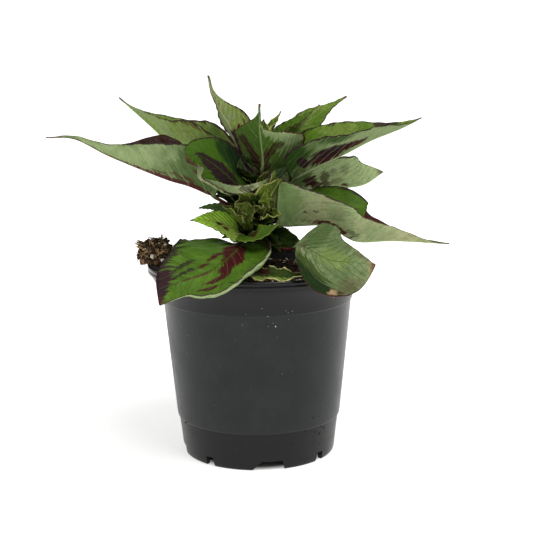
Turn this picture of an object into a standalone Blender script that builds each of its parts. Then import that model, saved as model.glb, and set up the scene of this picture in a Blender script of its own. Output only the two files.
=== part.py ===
"""Potted celosia before flowering: a plastic nursery pot, soil, a root clump, a stem and its leaves.

The pot stands on z = 0 with the origin at the centre of its foot, and the photo is seen from -Y.
All sizes below are in millimetres and are turned into metres when a mesh is made.
"""
import math

import bmesh
import bpy
import numpy as np
from mathutils import Matrix, Vector, noise

MM = 0.001

# Pot
POT_HEIGHT = 137.0
RIM_RADIUS = 77.5
RIM_BEAD = 6.0
COLLAR_RADIUS = 66.7
COLLAR_HEIGHT = 111.6
STEP_RADIUS = 58.2
STEP_HEIGHT = 27.3
FOOT_RADIUS = 53.6
POT_WALL = 1.2
FLOOR_UNDERSIDE = 3.0
FLOOR_TOP = 4.4
FOOT_RING = 2.2
PAD_RADIUS = 34.0
PAD_TOP = 1.5
POT_STEPS = 48

# Drainage notches
NOTCH_COUNT = 8
NOTCH_TURN = 6.0
NOTCH_HEIGHT = 6.5
WIDE_NOTCH = (25.0, 15.0)
NARROW_NOTCH = (8.0, 6.0)

# Soil
SOIL_GAP = 0.35
SOIL_EDGE_HEIGHT = 125.0
SOIL_MOUND = 11.0
SOIL_MOUND_RADIUS = 42.0
SOIL_ROUGHNESS = 1.6
SOIL_STEPS = 48

# Stem
STEM_LINE = ((-4, 3, 125), (-4, 3, 140), (-2, 2, 165), (0, 1, 188), (1, 1, 203))
STEM_FOOT_RADIUS = 4.0
STEM_TOP_RADIUS = 2.4
STEM_HOLE_GAP = 0.35
STEM_SIDES = 12

# Leaf blade
JOINT_GAP = 0.3
BLADE_THICKNESS = 0.7
STALK_THICKNESS = 2.2
STALK_HALF_WIDTH = 1.2
TIP_HALF_WIDTH = 0.35
BLADE_ROWS = 11
STALK_ROWS = 3
ACROSS = (-1.0, -0.75, -0.25, 0.0, 0.25, 0.75, 1.0)
SMALL_BLADE_ROWS = 8
SMALL_ACROSS = (-1.0, -0.45, 0.0, 0.45, 1.0)
SHOOT_BLADE_ROWS = 6
SHOOT_ACROSS = (-1.0, -0.3, 0.3, 1.0)

# One entry a leaf. "root" is the height and the compass angle at which it leaves the stem. "rib" runs on
# along the midrib to the tip, and "stalk" is the share of it that is bare petiole. "face" is the way the
# upper side looks at the base and at the tip. "half" gives the left and right half widths, "lift" how far
# each half rises from flat along the leaf, in degrees, and "arch" how much more it bends at its edge.
# "shape" is the place of the widest point, how the base rounds in and how the tip tapers, once for both
# halves or once for each. "wave" is the height, count and start of the edge waves.
LEAVES = {
    "leaf_long_left": dict(
        root=(171, 195),
        rib=((-17, -7, 178), (-28, -13, 185), (-45, -19, 194), (-62, -23, 200), (-98, -30, 216),
             (-121, -33, 228), (-140, -34, 229)),
        stalk=0.2, face=((0, 0, 1), (0, 0, 1)), half=(30, 29), lift=((76, 66), (70, 62)), arch=(0, 0),
        shape=((0.16, 1.0, 2.5), (0.37, 1.5, 4.4)), wave=(0.8, 2.5, 0.4)),
    "leaf_upper_left": dict(
        root=(192, 165),
        rib=((-18, 9, 201), (-29, 12, 205), (-43, 16, 210), (-54, 19, 215), (-64, 22, 222),
             (-75, 26, 232), (-97, 32, 251)),
        stalk=0.12, face=((0, 0, 1), (0, 0, 1)), half=(28, 29), lift=((66, 55), (60, 50)), arch=(0, 0),
        shape=((0.4, 1.2, 2.4), (0.36, 1.2, 2.3)), wave=(1.2, 2.5, 1.2)),
    "leaf_top": dict(
        root=(199, 125),
        rib=((-7, 6, 205), (-14, 11, 223), (-19, 15, 233), (-24, 19, 241), (-30, 25, 253), (-33, 30, 266)),
        stalk=0.24, face=((0.2, -1, 0.2), (0.2, -1, 0.2)), half=(8, 15), lift=((60, 40), (15, 10)),
        arch=(0, 10), shape=((0.3, 1.0, 3.4), (0.3, 1.0, 2.9)), wave=(1.0, 2.0, 0.0)),
    "leaf_hood": dict(
        root=(198, 280),
        rib=((4, -8, 202), (5, -15, 211), (4, -23, 222), (3, -29, 232), (3, -37, 250)),
        stalk=0.1, face=((0, 1, 0.5), (0, 1, 0.3)), half=(31, 22), lift=((12, 12), (25, 25)), arch=(20, 40),
        shape=((0.42, 1.3, 7.0), (0.5, 1.3, 3.0)), wave=(1.0, 2.0, 0.6)),
    "leaf_upper_right": dict(
        root=(197, 50),
        rib=((12, 9, 209), (21, 14, 220), (32, 20, 229), (43, 25, 237), (54, 30, 243), (66, 34, 250)),
        stalk=0.16, face=((0, -0.6, 0.8), (0, -0.6, 0.8)), half=(9, 12), lift=((20, 20), (5, 20)),
        arch=(0, 0), shape=(0.5, 1.2, 2.0), wave=(1.2, 2.0, 2.0)),
    "leaf_young_right": dict(
        root=(196, 5),
        rib=((11, 2, 208), (20, 4, 219), (30, 6, 228), (38, 8, 237), (45, 10, 246)),
        stalk=0.16, face=((-0.2, 0, 1), (-0.2, 0, 1)), half=(14, 11), lift=((65, 50), (50, 40)), arch=(0, 0),
        shape=(0.4, 1.2, 1.8), wave=(0.7, 2.0, 0.0)),
    "leaf_right_big": dict(
        root=(185, 340),
        rib=((15, -6, 192), (26, -10, 197), (33, -12, 201), (44, -16, 207), (61, -20, 215),
             (78, -24, 224), (98, -27, 232), (112, -28, 239)),
        stalk=0.2, face=((0, 0, 1), (0, 0, 1)), half=(31, 23), lift=((62, 50), (52, 42)), arch=(0, 0),
        shape=(0.2, 1.0, 1.7), wave=(1.4, 2.5, 0.0)),
    "leaf_right_mid": dict(
        root=(178, 20),
        rib=((10, 5, 186), (20, 7, 190), (31, 8, 189), (45, 12, 187), (64, 16, 187), (78, 18, 189),
             (91, 20, 197)),
        stalk=0.18, face=((0, 0, 1), (0, 0, 1)), half=(20, 26), lift=((60, 50), (76, 60)), arch=(0, 0),
        shape=(0.68, 1.4, 1.0), wave=(1.0, 2.0, 0.5)),
    "leaf_right_low": dict(
        root=(159, 335),
        rib=((10, -6, 163), (19, -9, 164), (30, -13, 165), (43, -18, 166), (52, -21, 165),
             (62, -24, 158), (72, -27, 155), (94, -31, 156), (131, -36, 154)),
        stalk=0.12, face=((0, 0, 1), (0, 0, 1)), half=(31, 35), lift=((55, 52), (95, 72, 45, 75, 65, 55)),
        arch=(0, 0), shape=((0.35, 1.0, 2.7), (0.12, 0.8, 2.0)), wave=(1.2, 2.5, 0.0)),
    "leaf_front_left": dict(
        root=(190, 250),
        rib=((-6, -14, 192), (-14, -23, 196), (-22, -30, 204), (-31, -36, 212), (-40, -40, 217),
             (-46, -42, 213)),
        stalk=0.12, face=((0, -0.8, 0.6), (0, -0.8, 0.6)), half=(25, 20), lift=((0, 0), (0, 10)),
        arch=(110, 0), shape=((0.74, 3.2, 0.5), (0.6, 1.0, 1.0)), wave=(1.0, 2.0, 0.0)),
    "leaf_front_big": dict(
        root=(147, 235),
        rib=((-8, -8, 151), (-12, -22, 151), (-19, -46, 148), (-27, -61, 145), (-34, -71, 143),
             (-44, -79, 141), (-53, -85, 138), (-63, -91, 126)),
        stalk=0.14, face=((-0.2, -0.4, 0.9), (-0.4, -0.6, 0.7)), half=(34, 35),
        lift=((-18, -24, -42), (28, 12)), arch=(120, 10), shape=((0.4, 0.6, 1.0), (0.4, 1.4, 1.0)),
        wave=(1.2, 2.5, 0.0)),
    "leaf_front_right": dict(
        root=(150, 320),
        rib=((12, -18, 151), (21, -38, 152), (28, -56, 158), (36, -68, 156), (48, -76, 151),
             (62, -79, 150), (77, -78, 148)),
        stalk=0.46, face=((0, -0.3, 1), (-0.2, -1, 0.5)), half=(25, 25), lift=((0, 0), (0, 0)), arch=(10, 10),
        shape=((0.24, 0.5, 1.3), (0.68, 4.0, 0.9)), wave=(1.5, 2.5, 0.0)),
    "leaf_small_left": dict(
        root=(151, 205),
        rib=((-12, -8, 158), (-20, -14, 165), (-29, -20, 169), (-37, -25, 171), (-45, -28, 171)),
        stalk=0.15, face=((0, -0.5, 0.85), (0, -0.5, 0.85)), half=(15, 11), lift=((0, -10), (20, 15)),
        arch=(0, 0), shape=(0.4, 1.2, 1.6), wave=(0.5, 2.0, 0.0)),
    "leaf_small_left_back": dict(
        root=(159, 165),
        rib=((-14, 2, 165), (-21, 6, 171), (-31, 8, 174), (-41, 10, 174)),
        stalk=0.2, face=((0, -0.3, 0.9), (0, -0.3, 0.9)), half=(7, 7), lift=((20, 15), (20, 15)), arch=(0, 0),
        shape=(0.5, 1.2, 1.4), wave=(0.4, 2.0, 0.0)),
    "leaf_small_right": dict(
        root=(155, 272),
        rib=((-5, -17, 157), (-2, -25, 158), (6, -30, 162), (16, -31, 169)),
        stalk=0.2, face=((0, -0.3, 0.9), (-0.3, -0.3, 0.9)), half=(10, 10), lift=((35, 25), (15, 5)),
        arch=(0, 0), shape=(0.4, 1.2, 1.6), wave=(0.4, 2.0, 0.0)),
    "leaf_soil": dict(
        root=(142, 275),
        rib=((-5, -22, 141), (-4, -42, 139), (1, -56, 139), (10, -64, 139.5), (22, -68, 139.5),
             (34, -68, 140.5)),
        stalk=0.5, face=((0, 0, 1), (0, 0, 1)), half=(8, 10.5), lift=((30, 30), (-8, -8)), arch=(0, 0),
        shape=(0.45, 1.2, 1.4), wave=(0.6, 2.0, 0.0)),
    "leaf_back_left": dict(
        root=(164, 130),
        rib=((-22, 24, 182), (-42, 42, 198), (-58, 58, 203), (-72, 70, 198)),
        stalk=0.2, face=((0, 0, 1), (0, 0, 1)), half=(20, 20), lift=((30, 30), (15, 15)), arch=(0, 0),
        shape=(0.3, 1.2, 2.0), wave=(1.2, 2.5, 0.0)),
    "leaf_back_middle": dict(
        root=(172, 80),
        rib=((4, 26, 190), (8, 48, 198), (10, 72, 194), (10, 92, 182)),
        stalk=0.18, face=((0, 0, 1), (0, 0, 1)), half=(23, 22), lift=((35, 35), (20, 20)), arch=(0, 0),
        shape=(0.3, 1.2, 2.0), wave=(1.3, 2.5, 1.0)),
    "leaf_back_right": dict(
        root=(160, 55),
        rib=((18, 26, 172), (36, 44, 178), (56, 58, 176), (74, 70, 166)),
        stalk=0.2, face=((0, 0, 1), (0, 0, 1)), half=(21, 20), lift=((30, 30), (15, 15)), arch=(0, 0),
        shape=(0.3, 1.2, 2.0), wave=(1.2, 2.5, 2.0)),
    "leaf_back_low": dict(
        root=(146, 95),
        rib=((-10, 32, 156), (-14, 56, 158), (-16, 82, 150), (-17, 98, 138)),
        stalk=0.22, face=((0, 0, 1), (0, 0, 1)), half=(20, 20), lift=((25, 25), (10, 10)), arch=(0, 0),
        shape=(0.35, 1.2, 1.8), wave=(1.4, 2.5, 0.5)),
    "leaf_back_upper": dict(
        root=(193, 95),
        rib=((2, 20, 210), (3, 34, 220), (4, 50, 224), (4, 66, 220)),
        stalk=0.16, face=((0, 0, 1), (0, 0, 1)), half=(14, 14), lift=((45, 45), (25, 25)), arch=(0, 0),
        shape=(0.3, 1.2, 2.0), wave=(0.9, 2.0, 0.0)),
}

# Leaves that are small or mostly hidden, and take fewer faces.
SMALL_LEAVES = ("leaf_upper_right", "leaf_young_right", "leaf_small_left", "leaf_small_left_back",
                "leaf_small_right", "leaf_soil", "leaf_back_upper")

# One entry a leafy shoot: where it leaves the stem, its own line and radii, and its small leaves as
# (share up the line, tip, half width, way the upper side looks).
SHOOTS = {
    "shoot_middle": dict(
        root=(163, 305), line=((6, -10, 169), (10, -13, 178)), radii=(1.6, 1.1),
        leaves=((0.35, (17, -25, 173), 7, (-0.3, -0.2, 1)), (0.3, (17, -28, 199), 10, (-0.4, 1, 0.5)),
                (0.85, (7, -23, 190), 6, (-0.5, 1, 0.3)), (1.0, (13, -16, 203), 6, (-1, 0.3, 0.2)))),
    "shoot_left": dict(
        root=(157, 230), line=((-7, -8, 162), (-8, -12, 168)), radii=(1.5, 1.0),
        leaves=((0.5, (-24, -20, 180), 7, (0, -0.4, 1)), (0.8, (-13, -22, 182), 7, (0.3, 1, 0.2)),
                (0.9, (-10, -13, 191), 8, (0.3, -1, 0.3)),
                (1.0, (-5, -20, 182), 6, (0.6, 0.8, 0.2)))),
    "shoot_right": dict(
        root=(150, 355), line=((7, 1, 154), (10, 0, 160)), radii=(1.5, 1.0),
        leaves=((0.5, (23, 10, 158), 7, (0, -0.3, 1)), (0.9, (17, -12, 152), 6, (-0.3, 0.2, 1)),
                (1.0, (12, 8, 178), 6, (-0.6, -0.3, 0.3)))),
    "shoot_crown": dict(
        root=None, line=((1, 1, 203.6), (3, 1, 209), (5, 1, 213)), radii=(1.8, 1.1),
        leaves=((0.3, (18, 6, 242), 7, (-0.7, -0.3, 0.2)), (0.7, (6, 10, 236), 8, (0, -1, 0.2)),
                (1.0, (8, -8, 232), 5, (0, 1, 0.2)))),
}

SHOOT_SETBACK = 0.9

# Root clump
CLUMP_MIDDLE = (-71.0, -4.0, 144.0)
CLUMP_SIZE = (12.0, 16.0, 9.5)
CLUMP_ROOTS = 8
CLUMP_ROOT_RADIUS = 0.8
CLUMP_GAP = 0.35
CLUMP_DETAIL = 3


def clear_scene():
    for item in list(bpy.data.objects):
        bpy.data.objects.remove(item, do_unlink=True)


def make_collections():
    shown = bpy.data.collections.new("potted_celosia")
    bpy.context.scene.collection.children.link(shown)
    cutters = bpy.data.collections.new("cutters")
    bpy.context.scene.collection.children.link(cutters)
    return shown, cutters


def plain_material(name, colour, roughness):
    material = bpy.data.materials.new(name)
    material.use_nodes = True
    shader = material.node_tree.nodes["Principled BSDF"]
    shader.inputs["Base Color"].default_value = (*colour, 1.0)
    shader.inputs["Roughness"].default_value = roughness
    shader.inputs["Metallic"].default_value = 0.0
    return material


def smooth_line(points, samples):
    """Points at even steps along a smooth line through the given ones."""
    given = np.array(points, dtype=float)
    before = 2 * given[0] - given[1]
    after = 2 * given[-1] - given[-2]
    knots = np.vstack([before, given, after])
    dense = []
    for index in range(len(given) - 1):
        p0, p1, p2, p3 = knots[index:index + 4]
        for step in np.linspace(0.0, 1.0, 24, endpoint=False):
            dense.append(0.5 * (2 * p1 + (p2 - p0) * step + (2 * p0 - 5 * p1 + 4 * p2 - p3) * step ** 2
                                + (3 * p1 - p0 - 3 * p2 + p3) * step ** 3))
    dense.append(given[-1])
    dense = np.array(dense)
    lengths = np.concatenate([[0.0], np.cumsum(np.linalg.norm(np.diff(dense, axis=0), axis=1))])
    wanted = np.asarray(samples) * lengths[-1]
    line = np.stack([np.interp(wanted, lengths, dense[:, axis]) for axis in range(3)], axis=1)
    return line, lengths[-1]


def stem_side(height, turn, setback=0.0):
    """The place beside the stem where a stalk starts, at a height and a compass angle from +X."""
    line = np.array(STEM_LINE, dtype=float)
    middle = [np.interp(height, line[:, 2], line[:, axis]) for axis in range(2)]
    share = (height - line[0, 2]) / (line[-1, 2] - line[0, 2])
    radius = STEM_FOOT_RADIUS + (STEM_TOP_RADIUS - STEM_FOOT_RADIUS) * share + JOINT_GAP + setback
    angle = math.radians(turn)
    return (middle[0] + radius * math.cos(angle), middle[1] + radius * math.sin(angle), height)


def leaf_frames(rib, face, samples):
    """Midrib points with the way along, the upper side and the left side at each."""
    fine = np.linspace(0.0, 1.0, 161)
    dense, length = smooth_line(rib, fine)
    slope = np.gradient(dense, axis=0)
    for axis in range(3):
        slope[:, axis] = np.convolve(np.pad(slope[:, axis], 5, mode="edge"), np.ones(11) / 11, mode="valid")
    start, end = (np.array(way, dtype=float) for way in face)
    frames = []
    for share in samples:
        place = np.array([np.interp(share, fine, dense[:, axis]) for axis in range(3)])
        along = np.array([np.interp(share, fine, slope[:, axis]) for axis in range(3)])
        along /= np.linalg.norm(along)
        upper = start * (1 - share) + end * share
        upper -= along * upper.dot(along)
        upper /= np.linalg.norm(upper)
        frames.append((place, upper, np.cross(upper, along)))
    return frames, length


def width_share(along, widest, base, tip):
    """Width of a half at a place along the blade, as a share of its widest."""
    if along < widest:
        rise = 1 - along / widest
        return max(1 - rise * rise, 0.0) ** (0.5 * base)
    fall = (along - widest) / (1 - widest)
    return max(1 - fall, 0.0) ** tip * (1 + tip * fall)


def half_shape(shape, side):
    return shape[side] if isinstance(shape[0], tuple) else shape


def ease(value):
    value = min(max(value, 0.0), 1.0)
    return value * value * (3 - 2 * value)


def half_offset(reach, lift, arch):
    """Sideways and upward offset of a point that lies reach (0 to 1) along a bent half, for a half of 1."""
    steps = 12
    sideways = 0.0
    upward = 0.0
    for index in range(steps):
        angle = math.radians(lift + arch * (reach * (index + 0.5) / steps) ** 3)
        sideways += math.cos(angle) * reach / steps
        upward += math.sin(angle) * reach / steps
    return sideways, upward, math.radians(lift + arch * reach ** 3)


def leaf_mesh(name, root, rib, stalk, face, half, lift, arch, shape, wave, blade_count, columns):
    """A leaf as a sheet shaped from a grid, with a thickness weight at every point."""
    stalk_rows = [stalk * index / STALK_ROWS for index in range(STALK_ROWS)]
    blade_rows = [stalk + (1 - stalk) * index / blade_count for index in range(blade_count + 1)]
    rows = stalk_rows + blade_rows
    if root:
        rib = (stem_side(*root), *rib)
    frames, length = leaf_frames(rib, face, rows)
    sheet = bmesh.new()
    bmesh.ops.create_grid(sheet, x_segments=len(columns) - 1, y_segments=len(rows) - 1, size=1.0)
    weights = {}
    for vertex in sheet.verts:
        column = round((vertex.co.x + 1) / 2 * (len(columns) - 1))
        row = round((vertex.co.y + 1) / 2 * (len(rows) - 1))
        across = -columns[column]
        share = rows[row]
        along = (share - stalk) / (1 - stalk)
        reach = abs(across)
        side = 0 if across > 0 else 1
        slim = STALK_HALF_WIDTH + (TIP_HALF_WIDTH - STALK_HALF_WIDTH) * max(along, 0.0)
        spread = width_share(along, *half_shape(shape, side)) if along > 0 else 0.0
        full = slim + (half[side] - slim) * spread
        opened = ease(along / 0.07)
        raised = np.interp(share, np.linspace(0, 1, len(lift[side])), lift[side])
        angle = 20 + (raised - 20) * opened
        sideways, upward, turn = half_offset(reach, angle, arch[side] * opened)
        place, upper, left = frames[row]
        way = left if side == 0 else -left
        spot = place + way * sideways * full + upper * upward * full
        height, count, start = wave
        swell = math.sin(math.pi * along) ** 0.5 if 0 < along < 1 else 0.0
        ripple = math.sin(2 * math.pi * (count * along + start * 0.16 + 0.37 * side))
        ripple *= height * reach ** 2 * swell
        spot = spot + (upper * math.cos(turn) - way * math.sin(turn)) * ripple
        vertex.co = Vector(spot) * MM
        rib_weight = (1 - reach / 0.25) if reach < 0.25 else 0.0
        stalk_weight = 1 - opened
        fade = 1.0 if along < 0 else 1 - 0.85 * along
        weights[vertex.index] = max(rib_weight * fade * 0.6, stalk_weight * (1 - 0.5 * reach))
    bmesh.ops.triangulate(sheet, faces=sheet.faces[:])
    mesh = bpy.data.meshes.new(name)
    sheet.to_mesh(mesh)
    sheet.free()
    return mesh, weights


def add_leaf(name, collection, material, blade_count=BLADE_ROWS, columns=ACROSS, **shape):
    mesh, weights = leaf_mesh(name, blade_count=blade_count, columns=columns, **shape)
    leaf = bpy.data.objects.new(name, mesh)
    collection.objects.link(leaf)
    thick = leaf.vertex_groups.new(name="thickness")
    for index, weight in weights.items():
        thick.add([index], weight, "REPLACE")
    shell = leaf.modifiers.new("thickness", "SOLIDIFY")
    shell.thickness = STALK_THICKNESS * MM
    shell.offset = -1.0
    shell.vertex_group = "thickness"
    shell.thickness_vertex_group = BLADE_THICKNESS / STALK_THICKNESS
    mesh.materials.append(material)
    return leaf


def spin_profile(name, profile, steps, collection):
    """A body turned round the vertical axis from (radius, height) points."""
    outline = bmesh.new()
    corners = [outline.verts.new((radius * MM, 0.0, height * MM)) for radius, height in profile]
    for first, second in zip(corners, corners[1:]):
        outline.edges.new((first, second))
    mesh = bpy.data.meshes.new(name)
    outline.to_mesh(mesh)
    outline.free()
    body = bpy.data.objects.new(name, mesh)
    collection.objects.link(body)
    turn = body.modifiers.new("turn", "SCREW")
    turn.steps = steps
    turn.render_steps = steps
    turn.use_merge_vertices = True
    turn.merge_threshold = 0.00005
    turn.use_smooth_shade = False
    return body


def pot_profile():
    """From the pad in the floor out to the wall, up to the rim, down outside and in under the floor."""
    rim = RIM_RADIUS
    top = POT_HEIGHT
    return (
        (0.0, PAD_TOP),
        (PAD_RADIUS - 1.0, PAD_TOP),
        (PAD_RADIUS + 0.4, FLOOR_TOP),
        (FOOT_RADIUS - 3.6, FLOOR_TOP),
        (FOOT_RADIUS - 1.2, FLOOR_TOP + 1.6),
        (STEP_RADIUS - POT_WALL - 0.6, STEP_HEIGHT),
        (COLLAR_RADIUS - POT_WALL - 0.4, COLLAR_HEIGHT),
        (68.2 - POT_WALL, 116.0),
        (71.0 - POT_WALL, 123.0),
        (75.0 - POT_WALL, 130.0),
        (rim - 2.6, top - 3.0),
        (rim - 2.4, top - 0.8),
        (rim - 1.8, top),
        (rim - 0.7, top),
        (rim, top - 0.9),
        (rim, top - 2.6),
        (rim - 0.5, top - 3.1),
        (rim, top - 3.6),
        (rim, top - RIM_BEAD + 0.6),
        (rim - 0.8, top - RIM_BEAD),
        (75.2, 129.6),
        (71.2, 122.6),
        (68.4, 115.6),
        (67.4, COLLAR_HEIGHT + 0.2),
        (COLLAR_RADIUS, COLLAR_HEIGHT - 0.4),
        (STEP_RADIUS, STEP_HEIGHT + 0.3),
        (STEP_RADIUS - 0.9, STEP_HEIGHT - 0.5),
        (FOOT_RADIUS + 0.6, 1.6),
        (FOOT_RADIUS - 0.6, 0.3),
        (FOOT_RADIUS - 1.0, 0.0),
        (FOOT_RADIUS - FOOT_RING - 0.4, 0.0),
        (FOOT_RADIUS - FOOT_RING - 1.0, FLOOR_UNDERSIDE),
        (PAD_RADIUS + 1.5, FLOOR_UNDERSIDE),
        (PAD_RADIUS, 0.0),
        (0.0, 0.0),
    )


def notch_cutter(index, cutters):
    """A wedge that cuts one drainage notch through the foot and the edge of the floor."""
    bottom, top = WIDE_NOTCH if index % 2 == 0 else NARROW_NOTCH
    cutter = bmesh.new()
    bmesh.ops.create_cube(cutter, size=1.0)
    for vertex in cutter.verts:
        width = top if vertex.co.z > 0 else bottom
        reach = FOOT_RADIUS - 9.0 if vertex.co.x < 0 else FOOT_RADIUS + 8.0
        height = NOTCH_HEIGHT if vertex.co.z > 0 else -2.0
        lean = 3.0 if vertex.co.z > 0 and index % 2 == 0 else 0.0
        vertex.co = Vector((reach, math.copysign(width / 2, vertex.co.y) + lean, height)) * MM
    turn = math.radians(-90 + NOTCH_TURN + index * 360 / NOTCH_COUNT)
    bmesh.ops.rotate(cutter, verts=cutter.verts, cent=(0, 0, 0), matrix=Matrix.Rotation(turn, 3, "Z"))
    mesh = bpy.data.meshes.new("notch_%d" % index)
    cutter.to_mesh(mesh)
    cutter.free()
    body = bpy.data.objects.new("notch_%d" % index, mesh)
    body.hide_render = True
    body.display_type = "WIRE"
    cutters.objects.link(body)
    return body


def cut_with(body, tool):
    cut = body.modifiers.new("cut", "BOOLEAN")
    cut.operation = "DIFFERENCE"
    cut.solver = "EXACT"
    cut.object = tool


def make_pot(shown, cutters):
    pot = spin_profile("pot", pot_profile(), POT_STEPS, shown)
    for index in range(NOTCH_COUNT):
        cut_with(pot, notch_cutter(index, cutters))
    pot.data.materials.append(plain_material("pot_plastic", (0.03, 0.03, 0.032), 0.45))
    return pot


def soil_height(x, y):
    """Height of the soil at a point: a mound round the stem, rougher away from the wall."""
    radius = math.hypot(x, y)
    mound = SOIL_MOUND * math.exp(-(radius / SOIL_MOUND_RADIUS) ** 2)
    rough = noise.noise(Vector((x * 0.07, y * 0.07, 3.0)))
    rough += 0.5 * noise.noise(Vector((x * 0.17, y * 0.17, 8.0)))
    return SOIL_EDGE_HEIGHT + mound + SOIL_ROUGHNESS * rough * ease((72 - radius) / 16)


def soil_profile():
    """From the rim of the stem hole outwards over the top, down the side and in under the soil."""
    gap = SOIL_GAP
    hole = STEM_FOOT_RADIUS + STEM_HOLE_GAP
    return (
        (0.0, 118.0),
        (hole, 118.0),
        (hole, 136.0),
        (8.0, 136.0),
        (16.0, 134.0),
        (25.0, 131.0),
        (35.0, 129.0),
        (45.0, 127.0),
        (55.0, 126.0),
        (64.0, 125.0),
        (71.9 - POT_WALL - gap, SOIL_EDGE_HEIGHT),
        (71.0 - POT_WALL - gap - 0.2, 122.8),
        (68.2 - POT_WALL - gap - 0.2, 116.0),
        (COLLAR_RADIUS - POT_WALL - 0.6 - gap, COLLAR_HEIGHT),
        (STEP_RADIUS - POT_WALL - 0.8 - gap, STEP_HEIGHT),
        (FOOT_RADIUS - 1.4 - gap, FLOOR_TOP + 1.9),
        (FOOT_RADIUS - 3.8 - gap, FLOOR_TOP + gap),
        (PAD_RADIUS - gap, FLOOR_TOP + gap),
        (PAD_RADIUS - 1.2 - gap, PAD_TOP + gap),
        (0.0, PAD_TOP + gap),
    )


def made_mesh(body):
    """Give the body its modifiers' result as its own mesh."""
    graph = bpy.context.evaluated_depsgraph_get()
    mesh = bpy.data.meshes.new_from_object(body.evaluated_get(graph))
    body.modifiers.clear()
    old = body.data
    body.data = mesh
    bpy.data.meshes.remove(old)
    return body


def keep_largest_piece(body):
    """Drop the loose slivers that fusing can leave beside the body."""
    solid = bmesh.new()
    solid.from_mesh(body.data)
    waiting = set(solid.verts)
    pieces = []
    while waiting:
        piece = [waiting.pop()]
        for vertex in piece:
            for edge in vertex.link_edges:
                other = edge.other_vert(vertex)
                if other in waiting:
                    waiting.remove(other)
                    piece.append(other)
        pieces.append(piece)
    pieces.sort(key=len)
    for piece in pieces[:-1]:
        bmesh.ops.delete(solid, geom=piece, context="VERTS")
    solid.to_mesh(body.data)
    solid.free()
    return body


def make_soil(shown):
    soil = made_mesh(spin_profile("soil", soil_profile(), SOIL_STEPS, shown))
    foot = STEM_LINE[0]
    hole = STEM_FOOT_RADIUS + STEM_HOLE_GAP
    for vertex in soil.data.vertices:
        x, y, z = (value / MM for value in vertex.co)
        radius = math.hypot(x, y)
        shift = ease((60 - radius) / 50) if z > 117 else 0.0
        x += foot[0] * shift
        y += foot[1] * shift
        if z > 124.5 and radius > hole - 0.1:
            z = soil_height(x, y)
        vertex.co = Vector((x, y, z)) * MM
    soil.data.materials.append(plain_material("potting_soil", (0.045, 0.032, 0.024), 0.95))
    return soil


def tube(name, path, radii, collection, roundness=1):
    """A closed round tube along the path, as a mesh."""
    curve = bpy.data.curves.new(name + "_line", "CURVE")
    curve.dimensions = "3D"
    curve.bevel_depth = 1.0 * MM
    curve.bevel_resolution = roundness
    curve.use_fill_caps = True
    spline = curve.splines.new("POLY")
    spline.points.add(len(path) - 1)
    for point, place, radius in zip(spline.points, path, radii):
        point.co = (*(Vector(place) * MM), 1.0)
        point.radius = radius
    drawn = bpy.data.objects.new(name + "_drawn", curve)
    collection.objects.link(drawn)
    graph = bpy.context.evaluated_depsgraph_get()
    mesh = bpy.data.meshes.new_from_object(drawn.evaluated_get(graph))
    bpy.data.objects.remove(drawn, do_unlink=True)
    bpy.data.curves.remove(curve)
    solid = bmesh.new()
    solid.from_mesh(mesh)
    bmesh.ops.remove_doubles(solid, verts=solid.verts, dist=1e-6)
    bmesh.ops.recalc_face_normals(solid, faces=solid.faces)
    solid.to_mesh(mesh)
    solid.free()
    body = bpy.data.objects.new(name, mesh)
    collection.objects.link(body)
    return body


def make_stem(shown):
    shares = np.linspace(0.0, 1.0, 9)
    path, length = smooth_line(STEM_LINE, shares)
    radii = [STEM_FOOT_RADIUS + (STEM_TOP_RADIUS - STEM_FOOT_RADIUS) * share for share in shares]
    stem = tube("stem", path, radii, shown, 2)
    stem.data.materials.clear()
    stem.data.materials.append(plain_material("stem_skin", (0.16, 0.2, 0.07), 0.5))
    return stem


def add_shoot(name, collection, material, root, line, radii, leaves):
    """A short stem with small leaves, fused into one body."""
    parts = bpy.data.collections.new(name + "_parts")
    bpy.context.scene.collection.children.link(parts)
    shares = np.linspace(0.0, 1.0, 5)
    if root:
        line = (stem_side(*root, SHOOT_SETBACK), *line)
    path, length = smooth_line(line, shares)
    body = tube(name, path, [radii[0] + (radii[1] - radii[0]) * share for share in shares], collection)
    for index, (share, tip, half, face) in enumerate(leaves):
        start = np.array([np.interp(share, shares, path[:, axis]) for axis in range(3)])
        end = np.array(tip, dtype=float)
        bow = np.array((0, 0, 0.08 if index % 2 else 0.03)) * np.linalg.norm(end - start)
        small = add_leaf("%s_leaf_%d" % (name, index), parts, material, SHOOT_BLADE_ROWS, SHOOT_ACROSS,
                         root=None, rib=(start, (start + end) / 2 + bow, end), stalk=0.12,
                         face=(face, face), half=(half, half), lift=((30, 30), (25, 25)), arch=(15, 15),
                         shape=(0.45, 1.3, 1.5), wave=(0.8, 2.0, 0.4 * index))
        made_mesh(small)
    fuse = body.modifiers.new("fuse", "BOOLEAN")
    fuse.operation = "UNION"
    fuse.solver = "EXACT"
    fuse.operand_type = "COLLECTION"
    fuse.collection = parts
    keep_largest_piece(made_mesh(body))
    for small in list(parts.objects):
        bpy.data.objects.remove(small, do_unlink=True)
    bpy.data.collections.remove(parts)
    body.data.materials.clear()
    body.data.materials.append(material)
    return body


def rim_cutter(cutters):
    """The rim of the pot, a little larger, so that the clump rests clear of it."""
    gap = CLUMP_GAP
    inner = RIM_RADIUS - 2.6 - gap
    outer = RIM_RADIUS + gap
    top = POT_HEIGHT + gap
    foot = inner - 4.0
    profile = ((foot, 112.0), (inner, 132.0), (inner, top), (outer, top), (outer, 120.0), (foot, 112.0))
    ring = spin_profile("rim_cutter", profile, POT_STEPS, cutters)
    made_mesh(ring)
    solid = bmesh.new()
    solid.from_mesh(ring.data)
    bmesh.ops.remove_doubles(solid, verts=solid.verts, dist=1e-6)
    solid.to_mesh(ring.data)
    solid.free()
    ring.hide_render = True
    ring.display_type = "WIRE"
    return ring


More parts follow.
